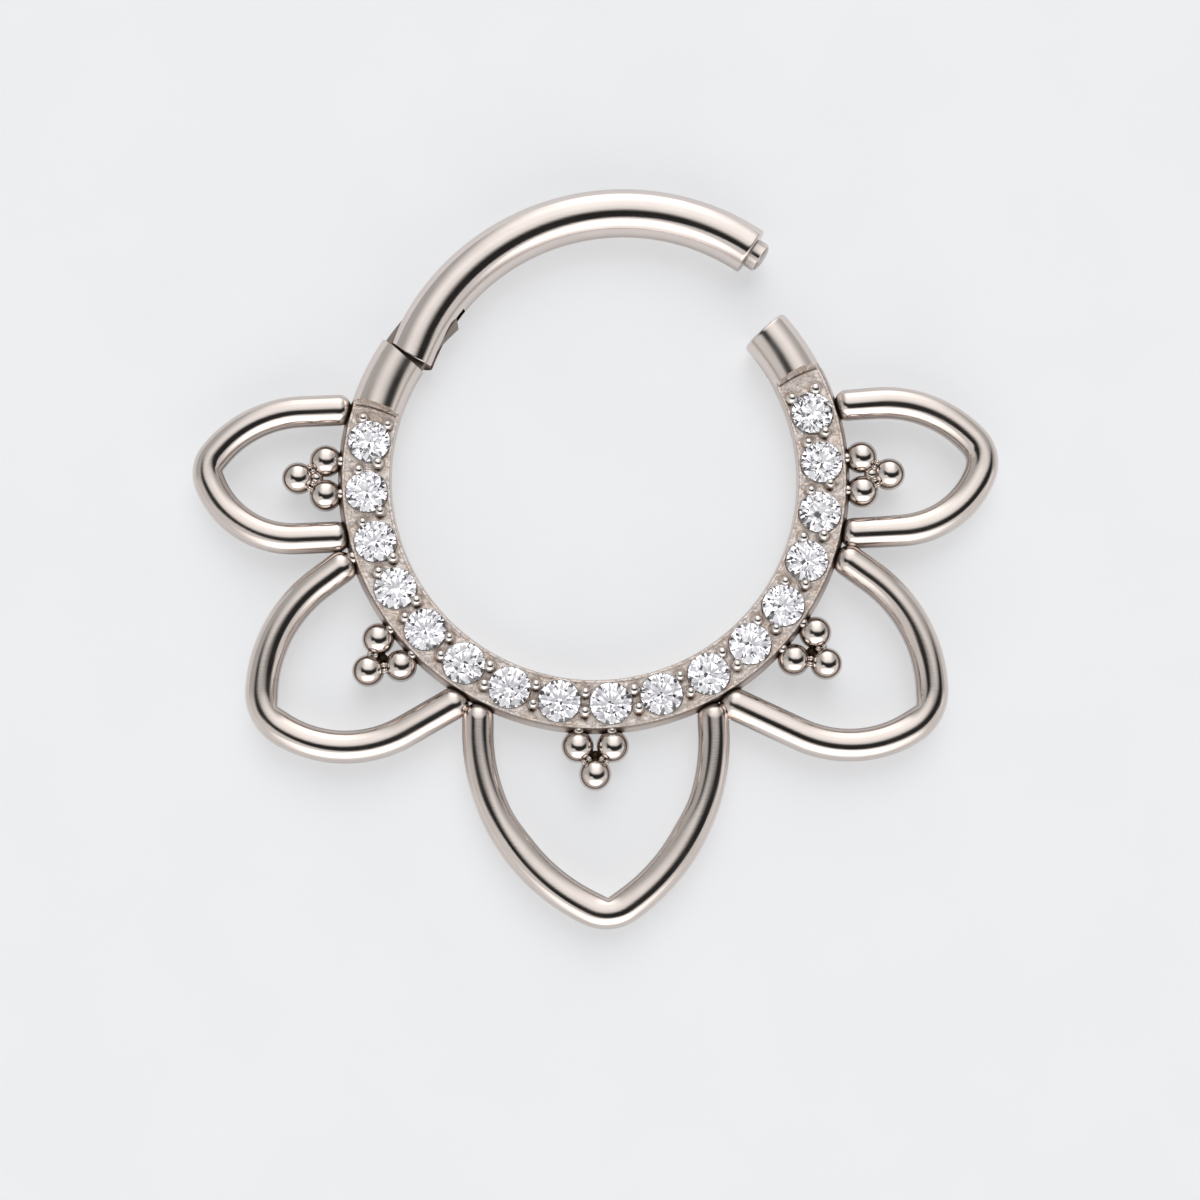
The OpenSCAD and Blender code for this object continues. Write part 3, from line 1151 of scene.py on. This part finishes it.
    def with_ends(
        self, begin: np.ndarray, off: np.ndarray, up: np.ndarray, marks: np.ndarray
    ) -> tuple[np.ndarray, np.ndarray]:
        """Adds the cup at the hinge and the bore at the latch to the band's rows.

        At the hinge the rows begin on a sphere about the pivot, and at the latch they turn over a small
        chamfer and back into the bore. The added rows are shares of the end row, from its middle outwards
        at the hinge and back inwards at the latch.

        Args:
            begin: Direction of each point.
            off: Its offset inwards from the wire's middle.
            up: Its height.
            marks: Its carved mark, its painted shade on the flat and its other painted shade.

        Returns:
            The points and their marks; shade is painted on the cup and in the bore.
        """
        cup_shares = np.array([0.04, 0.3, 0.55, 0.75, 0.9, 0.95])[:, None]
        cup_off, cup_up = cup_shares * off[0], cup_shares * up[0]
        near = self.barrel_rows
        steps = begin[:near] - self.ring.seam_dir
        reach = steps[-1, 0]
        skin_dir = self.cup_directions(off[:1], up[:1]) + self.turn_of(0.02)
        begin = begin.copy()
        begin[:near] = skin_dir + steps * (self.ring.seam_dir + reach - skin_dir) / reach
        begin[-1] -= self.turn_of(0.06)
        bore = self.bore_radius / self.ring.band_radius
        bore_shares = np.array([0.985, 0.94, 0.8, bore + 0.03, bore, bore, 0.5 * bore, 0.03])[:, None]
        depths = np.array([0.02, 0.0, 0.0, 0.0, 0.03, *[self.bore_depth] * 3])[:, None]
        bore_dir = np.tile(self.ring.catch_dir - self.turn_of(depths), (1, off.shape[1]))
        direction = np.radians(np.vstack([self.cup_directions(cup_off, cup_up), begin, bore_dir]))
        out = self.ring.radius - np.vstack([cup_off, off, bore_shares * off[-1]])
        all_up = np.vstack([cup_up, up, bore_shares * up[-1]])
        clean = np.zeros_like(marks[:1])
        # Painted shade on the cup and in the bore.
        dark = clean + np.array([0.0, 0.0, 1.0])
        all_marks = np.vstack([*[dark] * 5, clean, marks, *[clean] * 4, *[dark] * 4])
        return np.stack([out * np.cos(direction), out * np.sin(direction), all_up], -1), all_marks

    def cup_directions(self, off: np.ndarray, up: np.ndarray) -> np.ndarray:
        """Directions at which points of the barrel's end meet the cup, or the seam where that lies further.

        The direction a solves rho^2 + R^2 - 2 rho R cos(a - pivot) + z^2 = cup^2 for each point's own
        distance rho from the ring's middle and height z.
        """
        middle = self.ring.radius
        rho = middle - off
        cosine = (rho**2 + middle**2 + up**2 - self.cup_radius**2) / (2 * rho * middle)
        turn = np.degrees(np.arccos(np.clip(cosine, -1, 1)))
        seam = self.ring.seam_dir + self.turn_of(self.ring.seam_shift(off / self.ring.band_radius))
        return np.maximum(seam, self.ring.pivot_dir + turn)

    def prongs(self) -> Shape:
        """The bead prongs: small balls that stand in the floor."""
        balls = [
            ball(np.array([*foot, self.prong_z]), size, UPRIGHT, 14, 28)
            for foot, size in zip(*self.prong_feet())
        ]
        return Shape.together(balls)

    def seat_rims(self) -> Shape:
        """The thin bright rims that the seats' edges make round the stones.

        Each is a torus: its section circle of radius c, at (R + c cos(v), c sin(v)), goes once round the
        stone.
        """
        turns, sides = 64, 8
        around = np.linspace(0, FULL_TURN, turns, endpoint=False)
        section = np.linspace(0, FULL_TURN, sides, endpoint=False)
        out = self.stones.seat_radius + self.seat_rim_width * np.cos(section)
        z = np.tile(self.seat_rim_z + self.seat_rim_width * np.sin(section), (turns, 1))
        index = np.arange(turns * sides).reshape(turns, sides)
        ahead, beside = np.roll(index, -1, 0), np.roll(index, -1, 1)
        faces = [np.stack([index, ahead, np.roll(ahead, -1, 1), beside], -1).reshape(-1, 4)]
        rims = []
        for x, y in on_circle(self.stones.radius, self.stones.directions()):
            ring_x = x + np.cos(around)[:, None] * out
            ring_y = y + np.sin(around)[:, None] * out
            rims.append(Shape(np.stack([ring_x, ring_y, z], -1).reshape(-1, 3), faces))
        return Shape.together(rims)

    def tongue(self) -> Shape:
        """The hinge's tongue: a flat leaf with a round end, its edges following the wire.

        Its half width at a distance t short of the pivot is the lesser of the wire's own and
        sqrt(reach^2 - t^2). Its outer edge stands a little further in.
        """
        begin, end = self.ring.pivot_dir - 7.7, self.ring.seam_dir + 2
        directions = np.linspace(begin, end, 60)
        short = self.ring.radius * np.sin(np.radians(np.maximum(0, self.ring.pivot_dir - directions)))
        reach = np.sqrt(np.maximum(0, self.tongue_reach**2 - short**2))
        heights = np.linspace(-self.tongue_half, self.tongue_half, 7)
        wire = np.sqrt(self.ring.arm_radius**2 - heights**2)
        left = np.minimum(reach[:, None], wire)
        right = np.minimum(reach[:, None], wire - self.tongue_inset)
        off = np.concatenate([left, -right[:, ::-1]], 1)
        up = np.tile(np.concatenate([heights, heights[::-1]]), (len(directions), 1))
        line = BentWire.round_the_ring(self.ring.radius, begin, end)
        run = (directions - begin) / (end - begin) * line.length()
        # The tongue is painted darker all over, painted shade.
        return Shape.from_rows(line.carry(run, off, up)).marked(self.tongue_shade)

    def build(
        self,
        carved: bpy.types.Material,
        polished: bpy.types.Material,
        bright: bpy.types.Material,
        neighbours: np.ndarray,
    ) -> list[bpy.types.Object]:
        """Makes the band, the prongs, the stones' rims and the tongue.

        Args:
            carved: The band's finish.
            polished: The tongue's finish.
            bright: The prongs' and the rims' finish.
            neighbours: Beads and wire ends beside the band: the middle and radius of each.

        Returns:
            The pieces.
        """
        band = self.body(neighbours).piece("band", crease=40)
        finish_piece(band, carved, Body.FRAME, ["jewelled_frame"])
        pieces = [band]
        for name, part, metal in (
            ("bead_prongs", self.prongs(), bright),
            ("seat_rims", self.seat_rims(), bright),
            ("hinge_tongue", self.tongue(), polished),
        ):
            piece = part.piece(name)
            finish_piece(piece, metal, Body.FRAME, [])
            pieces.append(piece)
        return pieces


@dataclass(frozen=True)
class Bend:
    """A bend of a petal's wire: its radius, and its turn in degrees."""

    radius: float
    turn: float

    def stretch(self) -> Stretch:
        """The bend as a length of the wire's middle line."""
        return Stretch(self.radius * math.radians(abs(self.turn)), self.turn)


@dataclass
class Petal:
    """One petal: a straight run, a side bend, the tip, a side bend and a straight run back to the band.

    Each drop of its solder is given by its distance and direction from the ring's middle and its radius.
    """

    name: str
    root_dir: float
    heading: float
    first_run: float
    side: Bend
    tip: Bend
    back: Bend
    last_run: float
    rounding: float = 0.36
    root_radius: float = 6.12
    wire_radius: float = 0.38
    trim: float = 0.085
    sharpness: float = 1.0
    swell: float = 0.0
    line_angle: float = 18.0
    line_shade: float = 0.7
    solder: tuple[tuple[float, float, float], ...] = ()
    solder_z: float = 0.1
    ring: Ring = field(default_factory=Ring)

    def line(self) -> BentWire:
        """The wire's middle line, cut a little short at both ends so that they stand off the band."""
        heading = math.radians(self.heading)
        cut = self.trim * np.array([math.cos(heading), math.sin(heading)])
        return BentWire(
            on_circle(self.root_radius, self.root_dir) + cut,
            self.heading,
            [
                Stretch(self.first_run - self.trim),
                self.side.stretch(),
                self.tip.stretch(),
                self.back.stretch(),
                Stretch(self.last_run - self.trim),
            ],
        )

    def end_balls(self) -> list[list[float]]:
        """Middle and radius of the two balls that the rounded ends are nearly parts of."""
        line = self.line()
        foot, _ = line.at(np.array([self.rounding, line.length() - self.rounding]))
        return [[*point, 0.0, self.wire_radius] for point in foot]

    def drops(self) -> list[Shape]:
        """Drops of solder beside the wire's ends."""
        return [
            ball(np.array([*on_circle(away, direction), self.solder_z]), radius, UPRIGHT, 14, 28)
            for away, direction, radius in self.solder
        ]

    def build(self, metal: bpy.types.Material) -> bpy.types.Object:
        """Makes the petal, with shade painted where it meets the band, and its solder."""
        wire = self.line().rod(
            self.wire_radius,
            (self.rounding, self.rounding),
            step=0.05,
            around=64,
            inner=1 if self.tip.turn > 0 else -1,
            line_angle=self.line_angle,
            corner=2,
            sharpness=self.sharpness,
            swell=self.swell,
        )
        dark = crevice(self.ring.gap_to_band(wire.points), 0.06)
        # Painted reflection line, and painted shade where the wire meets the band.
        wire = wire.marked(np.maximum(self.line_shade * wire.marks["joint"], dark))
        petal = Shape.together([wire, *self.drops()]).piece(self.name)
        finish_piece(petal, metal, Body.FRAME, [])
        return petal


@dataclass
class BeadCluster:
    """Three beads, two against the band and one outside them, with drops of solder between them."""

    name: str
    direction: float
    bead_radius: float = 0.39
    near_radius: float = 6.58
    far_radius: float = 7.24
    spread: float = 3.7
    drop_radius: float = 0.065
    drop_spread: float = 0.075
    drop_z: float = 0.12
    foot_radius: float = 0.13
    web_radius: float = 0.13
    web_z: float = -0.06
    bright_web: bool = False
    ring: Ring = field(default_factory=Ring)

    def beads(self) -> np.ndarray:
        """Middles of the two near beads and the far one."""
        near = [on_circle(self.near_radius, self.direction + side * self.spread) for side in (-1, 1)]
        places = np.array([*near, on_circle(self.far_radius, self.direction)])
        return np.hstack([places, np.zeros((3, 1))])

    def dark(self, bead: np.ndarray, shape: Shape) -> Shape:
        """Paints shade on a bead beside the band and beside the other two."""
        others = np.array([other for other in self.beads() if np.linalg.norm(other - bead) > 0.01])
        apart = nearest(shape.points, others) - self.bead_radius
        gap = np.minimum(apart, self.ring.gap_to_band(shape.points))
        return shape.marked(crevice(gap, 0.06))

    def web(self, along: np.ndarray) -> Shape:
        """The solder in the middle of the cluster, high and bright; or else a low ball painted dark that
        stands for the shade there.
        """
        middle = self.beads().mean(0)
        if self.bright_web:
            return ball(middle, 1.3 * self.web_radius, along, 16, 28)
        # A dark ball put where there is only shade between the beads.
        return ball(middle + self.web_z * UPRIGHT, self.web_radius, along, 16, 28).marked(1.0)

    def build(self, metal: bpy.types.Material) -> bpy.types.Object:
        """Makes the cluster: the beads, drops where they touch, their feet on the band and the web."""
        beads = self.beads()
        far = beads[2]
        along = np.array([*on_circle(1.0, self.direction + 90), 0.0])
        shapes = [self.dark(bead, ball(bead, self.bead_radius, along, 60, 80)) for bead in beads]
        for bead in beads[:2]:
            beside = np.cross(UPRIGHT, far - bead)
            beside /= np.linalg.norm(beside)
            for side in (-1, 1):
                place = (bead + far) / 2 + side * self.drop_spread * beside + self.drop_z * UPRIGHT
                shapes.append(ball(place, self.drop_radius, along, 12, 20))
            inner_side = bead * (1 - (self.bead_radius - 0.01) / np.linalg.norm(bead))
            foot = inner_side + self.drop_z * UPRIGHT
            shapes.append(ball(foot, self.foot_radius, along, 12, 20))
        cluster = Shape.together([*shapes, self.web(along)]).piece(self.name)
        finish_piece(cluster, metal, Body.FRAME, [])
        return cluster


@dataclass
class HingedArm:
    """The plain upper arc with its latch post, its slotted heel and the hinge pin."""

    ring: Ring
    latch_rounding: float = 0.05
    slot_half: float = 0.185
    slot_reach: float = 0.98
    neck_radius: float = 0.345
    neck_length: float = 0.01
    post_root: float = -0.2
    post_radius: float = 0.37
    post_length: float = 0.27
    post_bevel: float = 0.02
    post_dome: float = 0.08
    post_shade: float = 0.32
    neck_shade: float = 0.55
    dome_shade: float = 0.7
    heel_bulge: float = 0.19
    heel_back: float = 0.03
    heel_run: float = 0.4
    pin_radius: float = 0.24
    pin_top: float = 0.38
    pin_bottom: float = -0.52
    pin_chamfer: float = 0.02
    bore_play: float = 0.01
    bore_ends: tuple[float, float] = (-0.8, -0.1)

    def slot_dir(self) -> float:
        """Direction of the slot's end, past the pin."""
        return self.ring.pivot_dir - math.degrees(math.asin(self.slot_reach / self.ring.radius))

    def rod(self) -> Shape:
        """The plain rod from the latch end to the slot's end."""
        line = BentWire.round_the_ring(self.ring.radius, self.ring.tip_dir, self.slot_dir())
        ends = (self.latch_rounding, 0.0)
        rod = line.rod(self.ring.arm_radius, ends, step=0.06, around=120, line_angle=self.ring.line_angle)
        # Painted reflection line along the arm's inner side.
        return rod.marked(self.ring.line_shade * rod.marks["joint"] ** 3)

    def cheek(self, side: int) -> Shape:
        """One of the two cheeks beside the slot: the rod's circle above, or below, the slot's wall.

        Its end bulges along the wire by heel_bulge * sin(120 s) - heel_back * (1 - s), in degrees, for a
        share s from the outer side to the inner one.

        Args:
            side: 1 for the upper cheek and -1 for the lower.

        Returns:
            The closed cheek.
        """
        line = BentWire.round_the_ring(self.ring.radius, self.slot_dir(), self.ring.heel_dir)
        length = line.length()
        end_steps = np.array([0.02, 0.008, 0.0])
        run = np.concatenate([np.linspace(0, length - 0.03, 26), length - end_steps])
        shrink = np.concatenate([np.zeros(27), [0.006, 0.02]])
        radii = self.ring.arm_radius - shrink
        edge = np.arcsin((self.slot_half + 0.3 * shrink) / radii)
        angle = edge[:, None] + np.linspace(0, 1, 60) * (math.pi - 2 * edge)[:, None]
        off = radii[:, None] * np.cos(angle)
        up = radii[:, None] * np.sin(angle)
        if side < 0:
            off, up = off[:, ::-1], -up[:, ::-1]
        rows = line.carry(run, off, up)
        share = np.clip(off / self.ring.arm_radius + 1, 0, 2) / 2
        bulge = self.heel_bulge * np.sin(share * math.pi / 1.5) - self.heel_back * (1 - share)
        bulge *= smooth_step(run, length - self.heel_run, length)[:, None]
        rows[..., :2] += bulge[..., None] * on_circle(1.0, self.ring.heel_dir + 90)
        # Painted reflection line along the inner side, and a painted shadow over the heel's end face.
        shade = self.ring.inner_line(off, up)
        shade[-1] = 1.0
        return Shape.from_rows(rows).marked(shade.ravel())

    def post(self) -> Shape:
        """The latch post, out of the arm's free end: a neck, a short rod, a bevel and a domed end.

        The dome's radius falls as R cos(t) while it rises by dome * sin(t).
        """
        foot = np.array([*on_circle(self.ring.radius, self.ring.tip_dir), 0.0])
        axis = np.array([*on_circle(1.0, self.ring.tip_dir - 90), 0.0])
        neck, end = self.neck_length, self.post_length
        top = self.post_radius - 1.6 * self.post_bevel
        bend = np.linspace(0, 0.49 * math.pi, 9)
        dome = end + self.post_bevel + 0.002 + self.post_dome * np.sin(bend)
        along = np.array([self.post_root, 0.0, neck, neck + 0.03, end, end + self.post_bevel, *dome])
        radii = [*[self.neck_radius] * 3, *[self.post_radius] * 2, top, *(top - 0.012) * np.cos(bend)]
        # Painted shade: the post's body is darkened a little, its neck and the dome's first ring more, and
        # its bevel not at all.
        shade = np.full(len(along), self.post_shade)
        shade[:3] = self.neck_shade
        shade[4:6] = 0.0
        shade[6] = self.dome_shade
        around = 64
        return turned(foot, axis, along, np.array(radii), around).marked(np.repeat(shade, around))

    def pin(self) -> Shape:
        """The hinge pin, with a small chamfer at each end."""
        foot = np.array([*self.ring.pivot(), 0.0])
        chamfer = self.pin_chamfer
        along = np.array([self.pin_bottom, self.pin_bottom + chamfer, self.pin_top - chamfer, self.pin_top])
        radii = self.pin_radius - np.array([chamfer, 0.0, 0.0, chamfer])
        return turned(foot, UPRIGHT, along, radii, 48)

    def bore(self) -> Shape:
        """The pin's hole in the lower cheek."""
        foot = np.array([*self.ring.pivot(), 0.0])
        radii = np.full(2, self.pin_radius + self.bore_play)
        return turned(foot, UPRIGHT, np.array(self.bore_ends), radii, 48)

    def build(self, metal: bpy.types.Material) -> list[bpy.types.Object]:
        """Makes the arm, its lower cheek and the pin."""
        arm = self.ring.opened(Shape.together([self.rod(), self.cheek(1), self.post()])).piece("arm")
        finish_piece(arm, metal, Body.ARM, ["hinged_arm"])
        cheek = self.ring.opened(self.cheek(-1)).piece("arm_lower_cheek")
        cut_away(cheek, self.ring.opened(self.bore()))
        finish_piece(cheek, metal, Body.ARM, [])
        pin = self.ring.opened(self.pin()).piece("pin")
        finish_piece(pin, metal, Body.ARM, ["hinge_pin"])
        return [arm, cheek, pin]


@dataclass(frozen=True)
class Patch:
    """A soft round patch of light on the dome, placed in degrees to the right and ahead of straight up."""

    right: float
    ahead: float
    reach: float
    light: float


@dataclass
class Studio:
    """The pale floor, the soft light and the camera at the photograph's viewing angle."""

    floor_z: float
    floor_half: float = 260.0
    floor_colour: Colour = (0.8, 0.81, 0.825)
    floor_mottle: float = 0.985
    floor_shaded: float = 0.65
    floor_glow: float = 0.566
    mirrored_glow: float = 0.1
    patches: tuple[Patch, ...] = (Patch(-72, -12, 24, 0.55), Patch(86, -14, 22, 0.75))
    behind_light: float = 1.4
    gap_light: float = 0.02
    backdrop_light: float = 0.84
    stone_dark: float = 0.8
    stone_light: float = 1.75
    stone_overhead: float = 0.6
    stone_speck: float = 0.04
    stone_tint: Colour = (0.975, 0.96, 1.0)
    key_energy: float = 0.69
    key_angle: float = 45.0
    key_tilt: tuple[float, float] = (-40.0, 4.0)
    tilt_up: float = 6.54
    tilt_side: float = -1.26
    aim: tuple[float, float, float] = (0.116, -3.058, 0.41)
    distance: float = 45.8
    lens: float = 57.0
    film: float = 36.0

    def floor(self) -> None:
        """A large floor with a faint mottle, lit partly from behind so that the shadows on it are pale."""
        h, z = self.floor_half, self.floor_z
        corners = np.array([[-h, -h, z], [h, -h, z], [h, h, z], [-h, h, z]])
        floor = Shape(corners, [np.arange(4)[None]]).piece("studio_floor", crease=None)
        surface = Surface("studio_floor")
        seen = surface.node("ShaderNodeLightPath").outputs["Is Camera Ray"]
        darker = tuple(self.floor_mottle * part for part in self.floor_colour)
        pale = surface.tint(darker, self.floor_colour, surface.ramp(surface.lumps(0.35, 3.0), 0.3, 0.7))
        shaded = surface.tint(pale, (0.0, 0.0, 0.0), 1 - self.floor_shaded)
        surface.give(
            Base_Color=surface.tint(pale, shaded, seen),
            Emission_Strength=surface.blend(self.mirrored_glow, self.floor_glow, seen),
            Emission_Color=pale,
            Roughness=0.9,
            Specular_IOR_Level=0.0,
        )
        floor.data.materials.append(surface.material)
        floor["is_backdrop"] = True

    def camera(self) -> None:
        """The camera: tilted about the two image axes from straight above."""
        up_tilt, side_tilt = math.radians(self.tilt_up), math.radians(self.tilt_side)
        cu, su = math.cos(side_tilt), math.sin(side_tilt)
        ct, st = math.cos(up_tilt), math.sin(up_tilt)
        right = np.array([cu, st * su, -ct * su])
        up = np.array([0.0, ct, st])
        back = np.array([su, -st * cu, ct * cu])
        place = (np.array(self.aim) + back * self.distance) * MM
        data = bpy.data.cameras.new("camera")
        data.lens = self.lens
        data.sensor_width = self.film
        data.clip_start = 0.001
        data.clip_end = 10.0
        camera = bpy.data.objects.new("camera", data)
        rows = [[*row, value] for row, value in zip(np.stack([right, up, back], 1), place)]
        camera.matrix_world = Matrix([*rows, [0, 0, 0, 1]])
        bpy.context.scene.collection.objects.link(camera)
        bpy.context.scene.camera = camera

    def dome(self) -> None:
        """The studio round the ring, which the stones see paler and with a trace of violet.

        A direction's place on the dome is its angle from straight up, laid out to the right and ahead, in
        degrees.
        """
        world = bpy.data.worlds.new("studio")
        bpy.context.scene.world = world
        world.use_nodes = True
        recipe = Recipe(world.node_tree)
        background = world.node_tree.nodes["Background"]
        direction = recipe.node("ShaderNodeTexCoord").outputs["Generated"]
        split = recipe.node("ShaderNodeSeparateXYZ")
        recipe.feed(split.inputs[0], direction)
        x, y, z = split.outputs
        polar = recipe.times(recipe.math("ARCCOSINE", z), 180 / math.pi)
        flat = recipe.math("SQRT", recipe.squares(x, y))
        reach = recipe.math("DIVIDE", polar, recipe.math("MAXIMUM", flat, 1e-4))
        right, ahead = recipe.times(x, reach), recipe.times(y, reach)

        light = self.soft_boxes(recipe, right, ahead)
        light = recipe.blend(light, self.gap_light, self.dark_gap(recipe, right, ahead))
        paths = recipe.node("ShaderNodeLightPath")
        in_stones = self.through_stones(recipe, light, direction, polar)
        light = recipe.blend(light, in_stones, paths.outputs["Is Transmission Ray"])
        light = recipe.blend(light, self.backdrop_light, paths.outputs["Is Camera Ray"])
        recipe.feed(background.inputs["Strength"], light)
        tint = recipe.tint((1.0, 1.0, 1.0), self.stone_tint, paths.outputs["Is Transmission Ray"])
        recipe.feed(background.inputs["Color"], tint)

    def soft_boxes(self, recipe: Recipe, right: object, ahead: object) -> bpy.types.NodeSocket:
        """The dome's light: a long soft box ahead and one behind, and a soft patch low on either side.

        Args:
            recipe: Writes the nodes.
            right: Place on the dome to the right, in degrees.
            ahead: Place on the dome ahead, in degrees.

        Returns:
            The strength of the light.
        """
        light = recipe.ramp(ahead, -14, 4, 0.62, 0.4)
        for patch in self.patches:
            off_right, off_ahead = recipe.minus(right, patch.right), recipe.minus(ahead, patch.ahead)
            away = recipe.math("SQRT", recipe.squares(off_right, off_ahead))
            light = recipe.blend(light, patch.light, recipe.ramp(away, patch.reach, 0.2 * patch.reach))
        aside = recipe.math("ABSOLUTE", recipe.minus(right, 4.0))
        box = recipe.times(recipe.ramp(ahead, -6, 10), recipe.ramp(aside, 50, 10))
        climb = recipe.plus(recipe.ramp(ahead, 0, 34, 0.72, 1.05), recipe.ramp(ahead, 36, 60, 0.0, 0.3))
        light = recipe.blend(light, climb, recipe.times(box, recipe.ramp(ahead, 100, 88, 0.6, 1.0)))
        behind = recipe.times(recipe.ramp(ahead, -36, -47), recipe.ramp(aside, 64, 28))
        return recipe.blend(light, self.behind_light, behind)

    def dark_gap(self, recipe: Recipe, right: object, ahead: object) -> bpy.types.NodeSocket:
        """The dark gap overhead between the soft boxes, shaped like a smile.

        Its upper edge climbs with the square of the distance to either side. Its lower edge falls away
        from the middle in the same way and is cut off on the left.

        Args:
            recipe: Writes the nodes.
            right: Place on the dome to the right, in degrees.
            ahead: Place on the dome ahead, in degrees.

        Returns:
            A mask that is 1 in the gap.
        """
        climbed = recipe.times(recipe.squares(recipe.over(0.0, right), recipe.over(right, 15.0)), 0.0125)
        above = recipe.minus(recipe.plus(ahead, 1.0), climbed)
        right_fall = recipe.times(recipe.over(right, 12.0), 0.66)
        fallen = recipe.times(recipe.squares(recipe.over(6.0, right), right_fall), 0.0215)
        below = recipe.minus(ahead, recipe.math("MINIMUM", recipe.minus(fallen, 34.0), -15.0))
        gap = recipe.times(recipe.ramp(above, 9, -7), recipe.ramp(below, -5, 3))
        return recipe.times(gap, recipe.times(recipe.ramp(right, -56, -36), recipe.ramp(right, 76, 58)))

    def through_stones(
        self, recipe: Recipe, light: object, direction: object, polar: object
    ) -> bpy.types.NodeSocket:
        """The studio as the stones let it through: paler, greyish overhead, and with small dark specks.

        Args:
            recipe: Writes the nodes.
            light: Strength of the dome's light.
            direction: Direction that the light comes from.
            polar: Its angle from straight up, in degrees.

        Returns:
            The strength of the light.
        """
        paler = recipe.ramp(light, 0, 0.5, self.stone_dark, self.stone_light)
        paler = recipe.blend(self.stone_overhead, paler, recipe.ramp(polar, 7, 12))
        specks = recipe.ramp(recipe.noise(direction, 5.5, 0.0), 0.44, 0.4)
        return recipe.blend(paler, self.stone_speck, recipe.times(specks, recipe.ramp(polar, 16, 24)))

    def key_light(self) -> None:
        """A broad light from ahead and above that the metal doesn't mirror; it lays the soft shadows."""
        data = bpy.data.lights.new("key", "SUN")
        data.energy = self.key_energy
        data.angle = math.radians(self.key_angle)
        key = bpy.data.objects.new("key", data)
        key.rotation_euler = (*np.radians(self.key_tilt), 0.0)
        key.visible_glossy = False
        key.visible_transmission = False
        bpy.context.scene.collection.objects.link(key)

    def build(self) -> None:
        """Sets the whole studio up."""
        self.floor()
        self.camera()
        self.dome()
        self.key_light()
        bpy.context.scene.view_settings.view_transform = "Standard"


def clear_start() -> None:
    """Removes whatever the new file held."""
    for leftover in list(bpy.data.objects):
        bpy.data.objects.remove(leftover)


def petals() -> list[Petal]:
    """The five petals, clockwise from the upper right."""
    thick = 0.395
    crotch_drop = (6.73, -61.3, 0.055)
    root_drop = (6.2, -161.3, 0.17)
    upper_right = Petal(
        "petal_upper_right", 17, 5, 1.1, Bend(2.9, -53), Bend(0.8, -65), Bend(2.3, -64), 1.55,
        rounding=0.3, sharpness=0.2, swell=0.025,
    )
    lower_right = Petal(
        "petal_lower_right", -17, -36, 1.1, Bend(3.5, -52), Bend(1.1, -61), Bend(2.9, -56), 2.15,
        wire_radius=thick, solder=(crotch_drop,),
    )
    bottom = Petal(
        "petal_bottom", -117.5, -90, 0.75, Bend(4.73, 64.5), Bend(0.9, 60), Bend(4.85, 57.5), 0.79,
        swell=0.06,
    )
    lower_left = Petal(
        "petal_lower_left", -161.5, 217, 1.1, Bend(3.4, 51), Bend(1.05, 60), Bend(2.9, 62), 1.75,
        wire_radius=thick, solder=(root_drop,),
    )
    upper_left = Petal(
        "petal_upper_left", 164, 182.5, 1.3, Bend(2.8, 50), Bend(0.7, 60), Bend(2.2, 70), 1.35,
        rounding=0.3, line_angle=13, line_shade=0.85,
    )
    return [upper_right, lower_right, bottom, lower_left, upper_left]


def clusters() -> list[BeadCluster]:
    """The five clusters of beads, clockwise from the right."""
    return [
        BeadCluster("beads_upper_right", 0.8, bright_web=True),
        BeadCluster("beads_lower_right", -39.1),
        BeadCluster("beads_bottom", -90.0),
        BeadCluster("beads_lower_left", -139.2),
        BeadCluster("beads_upper_left", 180.2, bright_web=True),
    ]


STEEL = PolishedMetal("polished_steel", (0.91, 0.82, 0.765), (0.87, 0.775, 0.72), (0.1, 0.16), 0.5, 0.15)
# A paler, glossier copy of the polished steel for the prongs and the seats' rims; its paler colour is
# painted light that makes them shine whiter.
BRIGHT_STEEL = PolishedMetal("bright_steel", (1.0, 0.95, 0.9), (0.97, 0.91, 0.86), (0.04, 0.08), 0.3, 0.5)
ARM_STEEL = PolishedMetal("arm_steel", (0.93, 0.84, 0.79), (0.89, 0.8, 0.75), (0.08, 0.13), 0.5)
BEAD_STEEL = PolishedMetal(
    "bead_steel",
    colour=(0.97, 0.88, 0.82),
    worn_colour=(0.94, 0.84, 0.78),
    gloss=(0.08, 0.12),
    hairs=0.4,
    rim_shade=0.85,
    painted_shade_colour=(0.07, 0.045, 0.03),
)
CARVED_STEEL = CarvedMetal(
    "carved_steel",
    colour=(0.91, 0.82, 0.765),
    cut_colour=(1.0, 0.9, 0.84),
    worn_colour=(0.92, 0.78, 0.69),
    hollow_colour=(0.13, 0.08, 0.055),
)


def main() -> None:
    """Loads the frame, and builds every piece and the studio."""
    logging.basicConfig(level=logging.INFO, format="%(name)s: %(message)s")
    clear_start()
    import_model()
    cad_box = [list(corner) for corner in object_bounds()]
    ring = Ring()
    row = StoneRow()
    steel = STEEL.material()
    wires = petals()
    beads = clusters()
    ends = [end for petal in wires for end in petal.end_balls()]
    balls = [[*bead, cluster.bead_radius] for cluster in beads for bead in cluster.beads()]
    bright_steel = BRIGHT_STEEL.material()
    Band(ring, row).build(CARVED_STEEL.material(), steel, bright_steel, np.array(ends + balls))
    row.build()
    for petal in wires:
        petal.build(steel)
    bead_steel = BEAD_STEEL.material()
    for cluster in beads:
        cluster.build(bead_steel)
    HingedArm(ring).build(ARM_STEEL.material())
    Studio(floor_z=cad_box[0][2] / MM).build()


if __name__ == "__main__":
    main()
